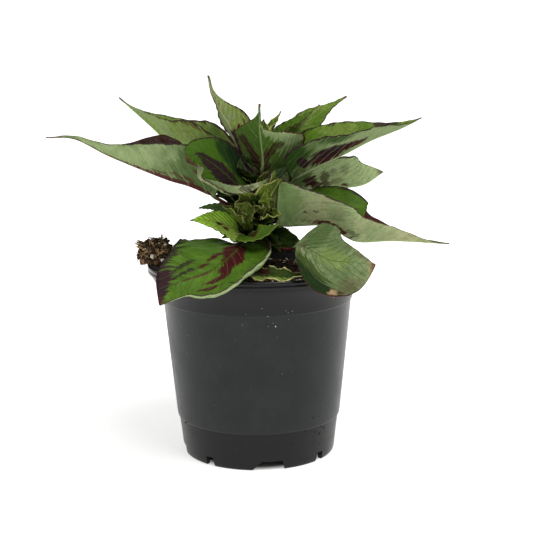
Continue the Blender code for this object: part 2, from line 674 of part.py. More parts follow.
def make_root_clump(shown, cutters):
    """A rough lump of root and soil on the left of the rim, with root ends standing out of it."""
    lump = bmesh.new()
    bmesh.ops.create_icosphere(lump, subdivisions=CLUMP_DETAIL, radius=1.0)
    for vertex in lump.verts:
        way = vertex.co.normalized()
        swell = 1 + 0.35 * noise.noise(way * 1.9 + Vector((4, 1, 7))) + 0.14 * noise.noise(way * 5.0)
        spot = Vector([way[axis] * swell * CLUMP_SIZE[axis] + CLUMP_MIDDLE[axis] for axis in range(3)])
        spot.z = max(spot.z, soil_height(spot.x, spot.y) + CLUMP_GAP + 0.3)
        vertex.co = spot * MM
    mesh = bpy.data.meshes.new("root_clump")
    lump.to_mesh(mesh)
    lump.free()
    clump = bpy.data.objects.new("root_clump", mesh)
    shown.objects.link(clump)
    roots = bpy.data.collections.new("clump_roots")
    bpy.context.scene.collection.children.link(roots)
    for index in range(CLUMP_ROOTS):
        turn = 2.4 * index + 0.5
        rise = 0.15 + 0.75 * ((index * 0.618) % 1.0)
        level = 1 - rise * 0.5
        way = Vector((math.cos(turn) * level, math.sin(turn) * level, rise)).normalized()
        start = Vector(CLUMP_MIDDLE) + Vector([way[axis] * CLUMP_SIZE[axis] * 0.5 for axis in range(3)])
        reach = Vector([way[axis] * CLUMP_SIZE[axis] for axis in range(3)])
        reach *= 1.15 + 0.25 * ((index * 0.37) % 1.0)
        bend = Vector((math.sin(3.1 * index), math.cos(2.3 * index), 0.4)) * 2.2
        path = [start, Vector(CLUMP_MIDDLE) + reach * 0.8 + bend * 0.4, Vector(CLUMP_MIDDLE) + reach + bend]
        path = [(point.x, point.y, max(point.z, 140.5)) for point in path]
        radii = [CLUMP_ROOT_RADIUS * share for share in (1.3, 1.0, 0.7)]
        tube("root_%d" % index, path, radii, roots)
    fuse = clump.modifiers.new("fuse", "BOOLEAN")
    fuse.operation = "UNION"
    fuse.solver = "EXACT"
    fuse.operand_type = "COLLECTION"
    fuse.collection = roots
    keep_largest_piece(made_mesh(clump))
    for root in list(roots.objects):
        bpy.data.objects.remove(root, do_unlink=True)
    bpy.data.collections.remove(roots)
    cut_with(clump, rim_cutter(cutters))
    clump.data.materials.clear()
    clump.data.materials.append(plain_material("root_and_soil", (0.1, 0.07, 0.045), 0.95))
    return clump


def main():
    clear_scene()
    shown, cutters = make_collections()
    make_pot(shown, cutters)
    make_soil(shown)
    make_root_clump(shown, cutters)
    make_stem(shown)
    for name, shape in LEAVES.items():
        rows, columns = (SMALL_BLADE_ROWS, SMALL_ACROSS) if name in SMALL_LEAVES else (BLADE_ROWS, ACROSS)
        add_leaf(name, shown, plain_material(name + "_green", (0.2, 0.36, 0.1), 0.45), rows, columns, **shape)
    for name, shape in SHOOTS.items():
        add_shoot(name, shown, plain_material(name + "_green", (0.3, 0.42, 0.1), 0.45), **shape)


main()
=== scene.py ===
import math
import random

import bpy
import numpy as np
from mathutils import Matrix, Vector, noise


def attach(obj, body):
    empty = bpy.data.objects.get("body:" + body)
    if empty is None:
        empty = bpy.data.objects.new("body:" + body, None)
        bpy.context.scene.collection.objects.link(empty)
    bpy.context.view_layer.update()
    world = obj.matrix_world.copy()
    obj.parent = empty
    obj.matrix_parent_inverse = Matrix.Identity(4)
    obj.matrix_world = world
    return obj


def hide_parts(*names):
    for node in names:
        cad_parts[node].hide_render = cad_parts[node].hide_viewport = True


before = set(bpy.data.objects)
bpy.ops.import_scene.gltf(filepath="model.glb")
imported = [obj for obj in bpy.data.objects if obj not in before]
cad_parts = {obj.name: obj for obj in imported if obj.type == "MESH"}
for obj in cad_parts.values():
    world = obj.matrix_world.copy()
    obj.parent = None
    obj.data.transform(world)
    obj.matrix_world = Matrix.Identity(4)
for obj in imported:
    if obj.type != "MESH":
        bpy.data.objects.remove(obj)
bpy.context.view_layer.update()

MM = 0.001
draw = random.Random(7)


# The studio: a white floor that runs out into a white surround, one broad soft lamp high up on the right, a
# weaker one on the left, and the camera 0.9 m in front of the pot and 0.3 m above the floor, looking slightly
# down.
CAMERA_PLACE = (0.0, -0.900, 0.306)
CAMERA_LENS = 87.26
SENSOR_WIDTH = 36.0
CAMERA_DOWN = math.radians(10.9)
CAMERA_ASIDE = math.radians(0.43)
CAMERA_LEAN = math.radians(0.62)
WHITE = (1.0, 1.0, 1.0, 1.0)
FLOOR_SIZE = 8.0
# The floor's glow is painted light, and where it stops under the pot it is a painted shadow.
FLOOR_GLOW = (0.56, 1.05)
FLOOR_FADE = (0.16, 0.60)
FLOOR_SHADED = (0.044, 0.054)
FLOOR_GRAIN = 900.0
FLOOR_TONES = ((0.93, 0.92, 0.90, 1.0), (0.96, 0.955, 0.94, 1.0))
SURROUND_SEEN = 1.1
SURROUND_MIRRORED = 0.68
SURROUND_LIGHT = 0.34
LAMP_AIM = Vector((0.0, 0.0, 0.13))
LAMPS = {
    "key_lamp": {"place": (0.45, -0.55, 1.35), "size": 0.8, "watts": 12.8},
    "fill_lamp": {"place": (-0.9, -0.6, 0.9), "size": 0.9, "watts": 2.6},
}


class Amount:
    """An output of a shader node, so that values over a surface are added and multiplied as numbers are."""

    def __init__(self, socket):
        self.socket = socket

    def __add__(self, other):
        return sums("ADD", self, other)

    def __sub__(self, other):
        return sums("SUBTRACT", self, other)

    def __rsub__(self, other):
        return sums("SUBTRACT", other, self)

    def __mul__(self, other):
        return sums("MULTIPLY", self, other)

    def __truediv__(self, other):
        return sums("DIVIDE", self, other)

    def __abs__(self):
        return sums("ABSOLUTE", self)


def feed(socket, value):
    """Link an amount to an input, or set the input to a plain number, place or colour."""
    if isinstance(value, Amount):
        socket.id_data.links.new(value.socket, socket)
    else:
        socket.default_value = value


def tree_of(values):
    """The node tree that the first amount among the values is in."""
    return next(value.socket.id_data for value in values if isinstance(value, Amount))


def shade(kind, output, inputs, **settings):
    """One output of a new shader node with these inputs and settings."""
    step = tree_of(inputs.values()).nodes.new("ShaderNode" + kind)
    for label, value in settings.items():
        setattr(step, label, value)
    for label, value in inputs.items():
        feed(step.inputs[label], value)
    return Amount(step.outputs[output])


def sums(operation, *values):
    """One arithmetic step of a shader."""
    return shade("Math", 0, dict(enumerate(values)), operation=operation)


def soft_step(value, low, high, first=0.0, last=1.0):
    """A smooth rise from the first amount at low to the last at high; low above high turns it round."""
    inputs = {"Value": value, "From Min": low, "From Max": high, "To Min": first, "To Max": last}
    return shade("MapRange", "Result", inputs, interpolation_type="SMOOTHSTEP")


def mixed(share, first, second):
    """Two colours mixed by a share from 0 to 1."""
    return shade("Mix", 2, {0: share, 6: first, 7: second}, data_type="RGBA")


def speckle(place, scale, detail=2.0, roughness=0.5):
    """Smooth noise at a place, as a value round one half."""
    inputs = {"Vector": place, "Scale": scale, "Detail": detail, "Roughness": roughness}
    return shade("TexNoise", "Fac", inputs)


def new_finish(name, roughness, shine):
    """A material, with its shader and its object coordinates."""
    finish = bpy.data.materials.new(name)
    finish.use_nodes = True
    shader = finish.node_tree.nodes["Principled BSDF"]
    shader.inputs["Roughness"].default_value = roughness
    shader.inputs["Specular IOR Level"].default_value = shine
    where = finish.node_tree.nodes.new("ShaderNodeTexCoord").outputs["Object"]
    return finish, shader, Amount(where)


def clear_choice():
    """Leave edit mode and let go of everything that is selected."""
    if bpy.context.object and bpy.context.object.mode != "OBJECT":
        bpy.ops.object.mode_set(mode="OBJECT")
    bpy.ops.object.select_all(action="DESELECT")


clear_choice()
bpy.ops.object.camera_add(location=CAMERA_PLACE)
camera = bpy.context.object
camera.data.lens = CAMERA_LENS
camera.data.sensor_width = SENSOR_WIDTH
level_ahead = Vector((math.sin(CAMERA_ASIDE), math.cos(CAMERA_ASIDE), 0.0))
ahead = level_ahead * math.cos(CAMERA_DOWN) - Vector((0.0, 0.0, math.sin(CAMERA_DOWN)))
level = Vector((math.cos(CAMERA_ASIDE), -math.sin(CAMERA_ASIDE), 0.0))
upright = level.cross(ahead)
across_view = level * math.cos(CAMERA_LEAN) - upright * math.sin(CAMERA_LEAN)
up_view = level * math.sin(CAMERA_LEAN) + upright * math.cos(CAMERA_LEAN)
turned = Matrix((across_view, up_view, -ahead)).transposed().to_4x4()
camera.matrix_world = Matrix.Translation(CAMERA_PLACE) @ turned
bpy.context.scene.camera = camera

surround = bpy.data.worlds.new("white_surround")
surround.use_nodes = True
surround_shader = surround.node_tree.nodes["Background"]
surround_shader.inputs["Color"].default_value = WHITE
ray = surround.node_tree.nodes.new("ShaderNodeLightPath").outputs
seen = Amount(ray["Is Camera Ray"])
unseen_light = Amount(ray["Is Glossy Ray"]) * (SURROUND_MIRRORED - SURROUND_LIGHT) + SURROUND_LIGHT
feed(surround_shader.inputs["Strength"], seen * SURROUND_SEEN + (1.0 - seen) * unseen_light)
bpy.context.scene.world = surround
bpy.context.scene.view_settings.view_transform = "Standard"
bpy.context.scene.view_settings.look = "None"

for lamp_name, lamp in LAMPS.items():
    bpy.ops.object.light_add(type="AREA", location=lamp["place"])
    light = bpy.context.object
    light.name = lamp_name
    light.data.size = lamp["size"]
    light.data.energy = lamp["watts"]
    light.rotation_euler = (LAMP_AIM - Vector(lamp["place"])).to_track_quat("-Z", "Y").to_euler()

clear_choice()
bpy.ops.mesh.primitive_plane_add(size=FLOOR_SIZE, location=(0.0, 0.0, 0.0))
floor = bpy.context.object
floor.name = "studio_floor"
paper, paper_shader, paper_place = new_finish("pale_floor", 0.9, 0.1)
away = shade("VectorMath", "Value", {0: paper_place}, operation="LENGTH")
paper_shader.inputs["Emission Color"].default_value = WHITE
# The floor's glow is painted light: weaker near the pot and full far out where the floor meets the surround.
# Under the pot it stops, a painted shadow seen through the notches.
glow = soft_step(away, *FLOOR_FADE, *FLOOR_GLOW) * soft_step(away, *FLOOR_SHADED)
feed(paper_shader.inputs["Emission Strength"], glow)
feed(paper_shader.inputs["Base Color"], mixed(speckle(paper_place, FLOOR_GRAIN), *FLOOR_TONES))
floor.data.materials.append(paper)


# The pot: a thin-walled black nursery pot, injection moulded in one piece of polypropylene, with a rolled rim
# bead, a flared collar, a stepped foot and drainage notches cut through the foot. The skin is satin, with
# dust on it, fine scuffs and a few crumbs of soil.
POT_HEIGHT = 137.0
RIM_RADIUS = 77.5
COLLAR_RADIUS = 66.7
COLLAR_HEIGHT = 111.6
STEP_RADIUS = 58.2
STEP_HEIGHT = 27.3
FOOT_RADIUS = 53.6
POT_WALL = 1.2
POT_SIDES = 160
SMOOTH_ANGLE = math.radians(40)
PAD_RADIUS = 34.0
NOTCH_COUNT = 8
NOTCH_TURN = 6.0
NOTCH_HEIGHT = 6.5
NOTCH_BELOW = -2.0
NOTCH_INNER_END = FOOT_RADIUS - 9.0
NOTCH_OUTER_END = FOOT_RADIUS + 8.0
WIDE_NOTCH = {"bottom": 25.0, "top": 15.0, "lean": 3.0}
NARROW_NOTCH = {"bottom": 8.0, "top": 6.0, "lean": 0.0}

# The outline of the pot as (radius, height), from the middle of its floor up the inside, over the rim and
# down the outside to the middle of the underside. The rim bead is set off from the rim's radius and the pot's
# top, and the inside of the wall from the outside.
FLOOR_LINE = ((0.0, 1.5), (12.0, 1.5), (PAD_RADIUS - 1.0, 1.5), (PAD_RADIUS + 0.4, 4.4),
              (FOOT_RADIUS - 3.6, 4.4), (FOOT_RADIUS - 1.2, 6.0))
INNER_LINE = ((STEP_RADIUS - 0.6, STEP_HEIGHT), (COLLAR_RADIUS - 0.4, COLLAR_HEIGHT), (68.2, 116.0),
              (71.0, 123.0), (75.0, 130.0))
RIM_BEAD = ((-2.9, -3.4), (-2.6, -2.6), (-2.55, -1.4), (-2.3, -0.6), (-1.8, -0.1), (-1.3, 0.0), (-0.8, -0.05),
            (-0.3, -0.4), (0.0, -1.0), (0.0, -2.4), (-0.15, -2.8), (-0.6, -3.05), (-0.6, -3.25),
            (-0.15, -3.5), (0.0, -3.9), (0.0, -5.1), (-0.25, -5.6), (-0.9, -5.9), (-1.9, -6.1))
OUTER_LINE = ((75.2, 129.6), (74.3, 128.0), (72.6, 125.1), (71.2, 122.6), (69.8, 119.3), (68.4, 115.6),
              (67.6, 112.6), (67.45, 112.0), (67.2, 111.7), (COLLAR_RADIUS + 0.1, 111.45),
              (COLLAR_RADIUS - 0.1, 110.9), (65.0, 94.0), (62.8, 72.0), (60.6, 50.0), (58.7, 31.0),
              (STEP_RADIUS + 0.1, 28.2))
FOOT_LINE = ((STEP_RADIUS, 27.6), (STEP_RADIUS - 0.35, 27.1), (STEP_RADIUS - 0.9, 26.7),
             (STEP_RADIUS - 1.0, 26.0), (56.1, 18.0), (54.6, 4.4), (FOOT_RADIUS + 0.6, 1.6),
             (FOOT_RADIUS + 0.2, 0.7), (FOOT_RADIUS - 0.4, 0.15), (FOOT_RADIUS - 1.0, 0.0),
             (FOOT_RADIUS - 2.6, 0.0), (FOOT_RADIUS - 3.0, 0.5), (FOOT_RADIUS - 3.2, 3.0),
             (PAD_RADIUS + 1.5, 3.0), (PAD_RADIUS + 0.5, 0.5), (PAD_RADIUS, 0.0), (12.0, 0.0), (0.0, 0.0))
INSIDE_LINE = ((radius - POT_WALL, height) for radius, height in INNER_LINE)
RIM_LINE = ((RIM_RADIUS + aside, POT_HEIGHT + rise) for aside, rise in RIM_BEAD)
POT_OUTLINE = (*FLOOR_LINE, *INSIDE_LINE, *RIM_LINE, *OUTER_LINE, *FOOT_LINE)


def screen_colour(red, green, blue):
    """A colour read as it looks on a screen, 0 to 255, as the amounts of light that a shader takes."""
    amounts = []
    for value in (red, green, blue):
        share = value / 255
        amounts.append(share / 12.92 if share <= 0.04045 else ((share + 0.055) / 1.055) ** 2.4)
    return (*amounts, 1.0)


POT_BLACK = screen_colour(20, 22, 22)
POT_SCUFF = screen_colour(58, 63, 64)
POT_DUST = screen_colour(104, 100, 90)
# The next two colours are near-black painted shade, laid over the foot, the collar and the rim.
POT_PAINTED_SHADE = (0.003, 0.003, 0.003, 1.0)
RIM_PAINTED_SHADE = (0.004, 0.004, 0.004, 1.0)


def take_up(piece):
    """Make the piece the only one that the next operators work on."""
    clear_choice()
    piece.select_set(True)
    bpy.context.view_layer.objects.active = piece


def tidy_shell():
    """Merge doubled points, turn all faces outwards and leave edit mode."""
    bpy.ops.mesh.select_all(action="SELECT")
    bpy.ops.mesh.remove_doubles(threshold=0.001 * MM)
    bpy.ops.mesh.normals_make_consistent(inside=False)
    bpy.ops.object.mode_set(mode="OBJECT")


def turned_piece(name, outline, sides):
    """A piece turned round the upright axis: a ring drawn out and resized from point to point."""
    clear_choice()
    first = outline[1]
    bpy.ops.mesh.primitive_circle_add(vertices=sides, radius=first[0] * MM, location=(0, 0, first[1] * MM))
    piece = bpy.context.object
    piece.name = name
    bpy.ops.object.transform_apply(location=True, rotation=True, scale=True)
    bpy.ops.object.mode_set(mode="EDIT")
    bpy.ops.mesh.select_all(action="SELECT")
    now = first
    for point in outline[2:-1]:
        bpy.ops.mesh.extrude_edges_move()
        bpy.ops.transform.resize(value=(point[0] / now[0], point[0] / now[0], 1.0),
                                 center_override=(0.0, 0.0, now[1] * MM))
        bpy.ops.transform.translate(value=(0.0, 0.0, (point[1] - now[1]) * MM))
        now = point
    bpy.ops.mesh.edge_face_add()
    bpy.ops.mesh.select_all(action="DESELECT")
    bpy.ops.mesh.select_non_manifold()
    bpy.ops.mesh.edge_face_add()
    tidy_shell()
    bpy.ops.object.shade_smooth_by_angle(angle=SMOOTH_ANGLE)
    return piece


def cut_notch(pot, index):
    """Cut one drainage notch with a tapered block that is pushed through the foot."""
    notch = NARROW_NOTCH if index % 2 else WIDE_NOTCH
    clear_choice()
    bpy.ops.mesh.primitive_cube_add(size=1.0)
    block = bpy.context.object
    turn = Matrix.Rotation(math.radians(-90 + NOTCH_TURN + index * 360 / NOTCH_COUNT), 3, "Z")
    for corner in block.data.vertices:
        reach = NOTCH_INNER_END if corner.co.x < 0 else NOTCH_OUTER_END
        if corner.co.z > 0:
            width = math.copysign(notch["top"] / 2, corner.co.y) + notch["lean"]
            height = NOTCH_HEIGHT
        else:
            width = math.copysign(notch["bottom"] / 2, corner.co.y)
            height = NOTCH_BELOW
        corner.co = turn @ (Vector((reach, width, height)) * MM)
    cut = pot.modifiers.new("notch", "BOOLEAN")
    cut.operation = "DIFFERENCE"
    cut.solver = "EXACT"
    cut.object = block
    take_up(pot)
    bpy.ops.object.modifier_apply(modifier=cut.name)
    bpy.data.objects.remove(block, do_unlink=True)


def stretched(place, scale):
    """A place pulled out by a different amount along each axis."""
    return shade("Mapping", "Vector", {"Vector": place, "Scale": scale})


def give_bump(shader, height, strength, distance):
    """Let a height over the surface catch the light."""
    bump = {"Height": height, "Strength": strength, "Distance": distance}
    feed(shader.inputs["Normal"], shade("Bump", "Normal", bump))


def make_effect(name, places, values, results, recipe):
    """A shader group: places and values go in, and the recipe works out the named results that come out."""
    effect = bpy.data.node_groups.new(name, "ShaderNodeTree")
    for label in (*places, *values):
        kind = "NodeSocketVector" if label in places else "NodeSocketFloat"
        effect.interface.new_socket(name=label, in_out="INPUT", socket_type=kind)
    for label in results:
        effect.interface.new_socket(name=label, in_out="OUTPUT", socket_type="NodeSocketFloat")
    given = effect.nodes.new("NodeGroupInput").outputs
    result = effect.nodes.new("NodeGroupOutput").inputs
    worked_out = recipe(**{label: Amount(given[label]) for label in (*places, *values)})
    for label, value in zip(results, worked_out):
        feed(result[label], value)
    return effect


def use_effect(effect, **values):
    """Place an effect in a material with its inputs given by name, and give its results by name."""
    step = tree_of(values.values()).nodes.new("ShaderNodeGroup")
    step.node_tree = effect
    for label, value in values.items():
        feed(step.inputs[label], value)
    return {result.name: Amount(result) for result in step.outputs}


def dust_recipe(place, size, amount):
    """Dust that has settled in specks and smears."""
    limit = 0.82 - amount * 0.12
    specks = soft_step(speckle(place, size, 1.0), limit, limit + 0.03)
    smears = soft_step(speckle(place, size * 0.08, 4.0, 0.65), 0.45, 0.75) * amount
    return specks, smears


def pot_finish():
    """Black satin plastic with painted shade that darkens the foot, the collar and the rim."""
    finish, shader, where = new_finish("nursery_pot_plastic", 0.34, 0.22)
    height = shade("SeparateXYZ", "Z", {0: where})
    low_down = soft_step(height, 50.0 * MM, 0.0)
    on_foot = soft_step(height, (STEP_HEIGHT + 0.2) * MM, (STEP_HEIGHT - 1.1) * MM)
    on_collar = soft_step(height, (COLLAR_HEIGHT - 0.4) * MM, (COLLAR_HEIGHT + 0.9) * MM)
    on_rim = soft_step(height, (POT_HEIGHT - 8.5) * MM, (POT_HEIGHT - 5.5) * MM)
    dusty = use_effect(settled_dust, place=where, size=420.0, amount=0.55)
    scuffs = soft_step(speckle(stretched(where, (260.0, 260.0, 34.0)), 6.0), 0.70, 0.78)
    blotches = soft_step(speckle(where, 60.0, 5.0, 0.65), 0.40, 0.70)
    colour = mixed(blotches * 0.10 + 0.11, POT_BLACK, POT_SCUFF)
    # The last two layers darken the foot, the collar and the rim with painted shade.
    for share, tint in ((dusty["smears"] * 0.30, POT_SCUFF), (scuffs * 0.20, POT_SCUFF),
                        (dusty["specks"] * 0.5, POT_DUST), (low_down * 0.04, POT_DUST),
                        (on_foot * 0.80 + on_collar * 0.70, POT_PAINTED_SHADE), (on_rim * 0.8, RIM_PAINTED_SHADE)):
        colour = mixed(share, colour, tint)
    feed(shader.inputs["Base Color"], colour)
    feed(shader.inputs["Roughness"], dusty["smears"] * 0.22 + 0.32 - on_rim * 0.16)
    give_bump(shader, speckle(where, 1500.0) + scuffs * -0.5, 0.10, 0.2 * MM)
    return finish


pot = turned_piece("nursery_pot", POT_OUTLINE, POT_SIDES)
for index in range(NOTCH_COUNT):
    cut_notch(pot, index)
settled_dust = make_effect("settled_dust", ("place",), ("size", "amount"), ("specks", "smears"), dust_recipe)
pot.data.materials.append(pot_finish())
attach(pot, "root")
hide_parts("pot")


# The soil: a dark mix of peat, bark and roots that fills the pot to about 12 mm below the rim and mounds up
# round the stem. White perlite grains, bark chips and root fibres lie on it.
SOIL_GAP = 0.35
SOIL_EDGE_HEIGHT = 125.0
SOIL_EDGE_RADIUS = 71.9 - POT_WALL - SOIL_GAP
SOIL_MOUND = 11.0
SOIL_MOUND_RADIUS = 42.0
SOIL_ROUGHNESS = 1.6
SOIL_SIDES = 180
SOIL_RINGS = 52
STEM_FOOT = (-4.0, 3.0)
HOLE_RADIUS = 4.35
HOLE_FLOOR = 118.0
STREWN_FROM = 6.5
STREWN_TO = 68.0
CRUMB_COUNT = 900
CRUMB_SIZE = (0.5, 1.7)
PERLITE_COUNT = 260
PERLITE_SIZE = (0.5, 1.25)
PERLITE_PATCH = {"x": 25.0, "y": -50.0, "spread": 8.0, "limit": 66.0, "size": (0.35, 1.0)}
BARK_COUNT = 110
BARK_SIZES = ((1.2, 3.4), (0.6, 1.3), (0.25, 0.6))
BARK_TILT = 0.4
FIBRE_COUNT = 46
FIBRE_STEPS = 5
FIBRE_STEP = (1.0, 2.6)
FIBRE_BEND = 0.8
FIBRE_RADIUS = (0.14, 0.3)
FIBRE_RISE = (0.3, 1.5)
FIBRE_LIMIT = 67.0
GRAIN_WOBBLE = 0.22
SOIL_DARK = screen_colour(18, 13, 9)
SOIL_BROWN = screen_colour(62, 46, 32)
PERLITE_GREY = screen_colour(176, 170, 152)
PERLITE_WHITE = screen_colour(238, 235, 224)
BARK_DARK = screen_colour(52, 34, 22)
BARK_BROWN = screen_colour(96, 66, 42)
FIBRE_BROWN = screen_colour(104, 76, 48)
FIBRE_TAN = screen_colour(150, 116, 76)


def ease(value):
    """A smooth rise from 0 to 1."""
    value = np.clip(value, 0.0, 1.0)
    return value * value * (3 - 2 * value)


def lumps(x, y, scale, level):
    """Smooth lumps over the soil, from about -1 to 1."""
    return noise.noise(Vector((x * scale, y * scale, level)))


def soil_height(x, y):
    """Height of the soil at a point: a mound round the stem, rougher away from the wall."""
    radius = math.hypot(x, y)
    mound = SOIL_MOUND * math.exp(-(radius / SOIL_MOUND_RADIUS) ** 2)
    rough = lumps(x, y, 0.07, 3.0) + 0.5 * lumps(x, y, 0.17, 8.0)
    return SOIL_EDGE_HEIGHT + mound + SOIL_ROUGHNESS * rough * float(ease((72 - radius) / 16))


def soil_outline():
    """The hole for the stem, the top in rings, and the outside that follows the inside of the pot."""
    ring_step = (SOIL_EDGE_RADIUS - HOLE_RADIUS) / SOIL_RINGS
    rings = [(HOLE_RADIUS + ring_step * index, 130.0) for index in range(SOIL_RINGS)]
    inside = POT_WALL + SOIL_GAP
    return ((0.0, HOLE_FLOOR), (0.5, HOLE_FLOOR), (HOLE_RADIUS, HOLE_FLOOR), *rings,
            (SOIL_EDGE_RADIUS, SOIL_EDGE_HEIGHT), (71.0 - inside - 0.2, 122.8), (68.2 - inside - 0.2, 116.0),
            (COLLAR_RADIUS - inside - 0.6, COLLAR_HEIGHT), (STEP_RADIUS - inside - 0.8, STEP_HEIGHT),
            (FOOT_RADIUS - 1.4 - SOIL_GAP, 7.0), (FOOT_RADIUS - 4.0, 4.4 + SOIL_GAP), (0.5, 4.4 + SOIL_GAP),
            (0.0, 4.4 + SOIL_GAP))


def copies(name, pattern, places):
    """One mesh of many small grains, each a turned, stretched copy of the pattern piece."""
    corner = np.array([vertex.co for vertex in pattern.data.vertices])
    faces = [tuple(face.vertices) for face in pattern.data.polygons]
    corners, all_faces = [], []
    for spot, turn, size in places:
        base = len(corners) * len(corner)
        middle = np.array(spot)
        lumpy = np.array([noise.noise(Vector(point * 900 + middle * 4)) for point in corner])
        shaped = corner * (1 + GRAIN_WOBBLE * lumpy)[:, None] * np.array(size)
        corners.append(shaped @ np.array(turn).T + middle)
        all_faces.extend(tuple(index + base for index in face) for face in faces)
    mesh = bpy.data.meshes.new(name)
    mesh.from_pydata((np.concatenate(corners) * MM).tolist(), [], all_faces)
    piece = bpy.data.objects.new(name, mesh)
    bpy.context.scene.collection.objects.link(piece)
    bpy.data.objects.remove(pattern, do_unlink=True)
    return piece


def any_turn():
    way = Vector((draw.uniform(-1, 1), draw.uniform(-1, 1), draw.uniform(-1, 1) + 0.01)).normalized()
    return Matrix.Rotation(draw.uniform(0, 2 * math.pi), 3, way)


def three_sizes(size, low, high):
    """A grain's size along each of its axes."""
    return [size * draw.uniform(low, high) for _ in range(3)]


def soil_spot(sink):
    """A random place on the soil, clear of the stem and the wall."""
    radius = STREWN_FROM + (STREWN_TO - STREWN_FROM) * math.sqrt(draw.random())
    angle = draw.uniform(0, 2 * math.pi)
    x, y = radius * math.cos(angle), radius * math.sin(angle)
    return x, y, soil_height(x, y) + sink


def grain_pattern(detail=1):
    clear_choice()
    bpy.ops.mesh.primitive_ico_sphere_add(subdivisions=detail, radius=1.0)
    return bpy.context.object


def chip_pattern():
    """A flake of bark: a block with its ends drawn in and its edges rounded."""
    clear_choice()
    bpy.ops.mesh.primitive_cube_add(size=2.0)
    chip = bpy.context.object
    bpy.ops.object.mode_set(mode="EDIT")
    bpy.ops.mesh.select_all(action="SELECT")
    bpy.ops.mesh.bevel(offset=0.35, segments=1)
    bpy.ops.object.mode_set(mode="OBJECT")
    return chip


def ground_finish(name, dark, light, scale, roughness=0.95):
    """A dull, grainy surface in patches of two colours."""
    finish, shader, where = new_finish(name, roughness, 0.15)
    patches = soft_step(speckle(where, scale, 6.0, 0.7), 0.35, 0.7)
    feed(shader.inputs["Base Color"], mixed(patches, dark, light))
    give_bump(shader, speckle(where, scale * 3, 5.0, 0.7), 0.8, 0.6 * MM)
    return finish


soil = turned_piece("soil_bed", soil_outline(), SOIL_SIDES)
for vertex in soil.data.vertices:
    x, y, z = (value / MM for value in vertex.co)
    radius = math.hypot(x, y)
    if z > HOLE_FLOOR - 1:
        shift = float(ease((60 - radius) / 50))
        x += STEM_FOOT[0] * shift
        y += STEM_FOOT[1] * shift
    if z > SOIL_EDGE_HEIGHT - 0.5 and radius > HOLE_RADIUS - 0.1:
        rough = lumps(x, y, 0.35, 1.0) + 0.7 * lumps(x, y, 0.9, 5.0)
        z = soil_height(x, y) + 0.9 * rough * float(ease((70 - radius) / 6))
    vertex.co = Vector((x, y, z)) * MM
soil_finish = ground_finish("potting_mix", SOIL_DARK, SOIL_BROWN, 420.0)
soil.data.materials.append(soil_finish)
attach(soil, "root")
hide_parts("soil")

crumb_places = []
for _ in range(CRUMB_COUNT):
    spot = soil_spot(0.2)
    turn = any_turn()
    size = [draw.uniform(*CRUMB_SIZE) * draw.uniform(0.7, 1.2) for _ in range(3)]
    crumb_places.append((spot, turn, size))
crumbs = copies("soil_crumbs", grain_pattern(), crumb_places)
crumbs.data.materials.append(soil_finish)

perlite_places = []
for number in range(PERLITE_COUNT):
    size = draw.uniform(*PERLITE_SIZE)
    spot = soil_spot(0.6)
    if number % 3 == 0:
        x = draw.gauss(PERLITE_PATCH["x"], PERLITE_PATCH["spread"])
        y = draw.gauss(PERLITE_PATCH["y"], PERLITE_PATCH["spread"])
        if math.hypot(x, y) < PERLITE_PATCH["limit"]:
            spot = (x, y, soil_height(x, y) + 0.6)
            size = draw.uniform(*PERLITE_PATCH["size"])
    perlite_places.append((spot, any_turn(), three_sizes(size, 0.75, 1.2)))
perlite = copies("perlite_grains", grain_pattern(), perlite_places)
perlite_finish = ground_finish("white_perlite", PERLITE_GREY, PERLITE_WHITE, 900.0, 0.85)
perlite.data.materials.append(perlite_finish)

bark_places = []
for _ in range(BARK_COUNT):
    round_turn = Matrix.Rotation(draw.uniform(0, 2 * math.pi), 3, "Z")
    flat_turn = round_turn @ Matrix.Rotation(draw.uniform(-BARK_TILT, BARK_TILT), 3, "X")
    spot = soil_spot(0.6)
    bark_places.append((spot, flat_turn, [draw.uniform(*span) for span in BARK_SIZES]))
bark = copies("bark_chips", chip_pattern(), bark_places)
bark.data.materials.append(ground_finish("bark_brown", BARK_DARK, BARK_BROWN, 700.0, 0.9))


def fibre(path, radii, name, sides):
    """A root fibre or twig: a line drawn through the points and given a round thickness."""
    curve = bpy.data.curves.new(name, "CURVE")
    curve.dimensions = "3D"
    curve.bevel_depth = MM
    curve.bevel_resolution = sides
    curve.use_fill_caps = True
    curve.resolution_u = 4
    line = curve.splines.new("NURBS")
    line.points.add(len(path) - 1)
    line.use_endpoint_u = True
    line.order_u = min(4, len(path))
    for point, spot, radius in zip(line.points, path, radii):
        point.co = (*(Vector(spot) * MM), 1.0)
        point.radius = radius
    drawn = bpy.data.objects.new(name, curve)
    bpy.context.scene.collection.objects.link(drawn)
    return drawn


def take_up_all(pieces):
    """Let the next operators work on all the pieces, the first of them leading."""
    take_up(pieces[0])
    for piece in pieces[1:]:
        piece.select_set(True)


def joined(name, drawn):
    """Turn the drawn lines into one closed mesh piece."""
    take_up_all(drawn)
    bpy.ops.object.convert(target="MESH")
    if len(drawn) > 1:
        bpy.ops.object.join()
    piece = bpy.context.object
    piece.name = name
    bpy.ops.object.mode_set(mode="EDIT")
    tidy_shell()
    bpy.ops.object.shade_smooth()
    piece.data.materials.clear()
    return piece


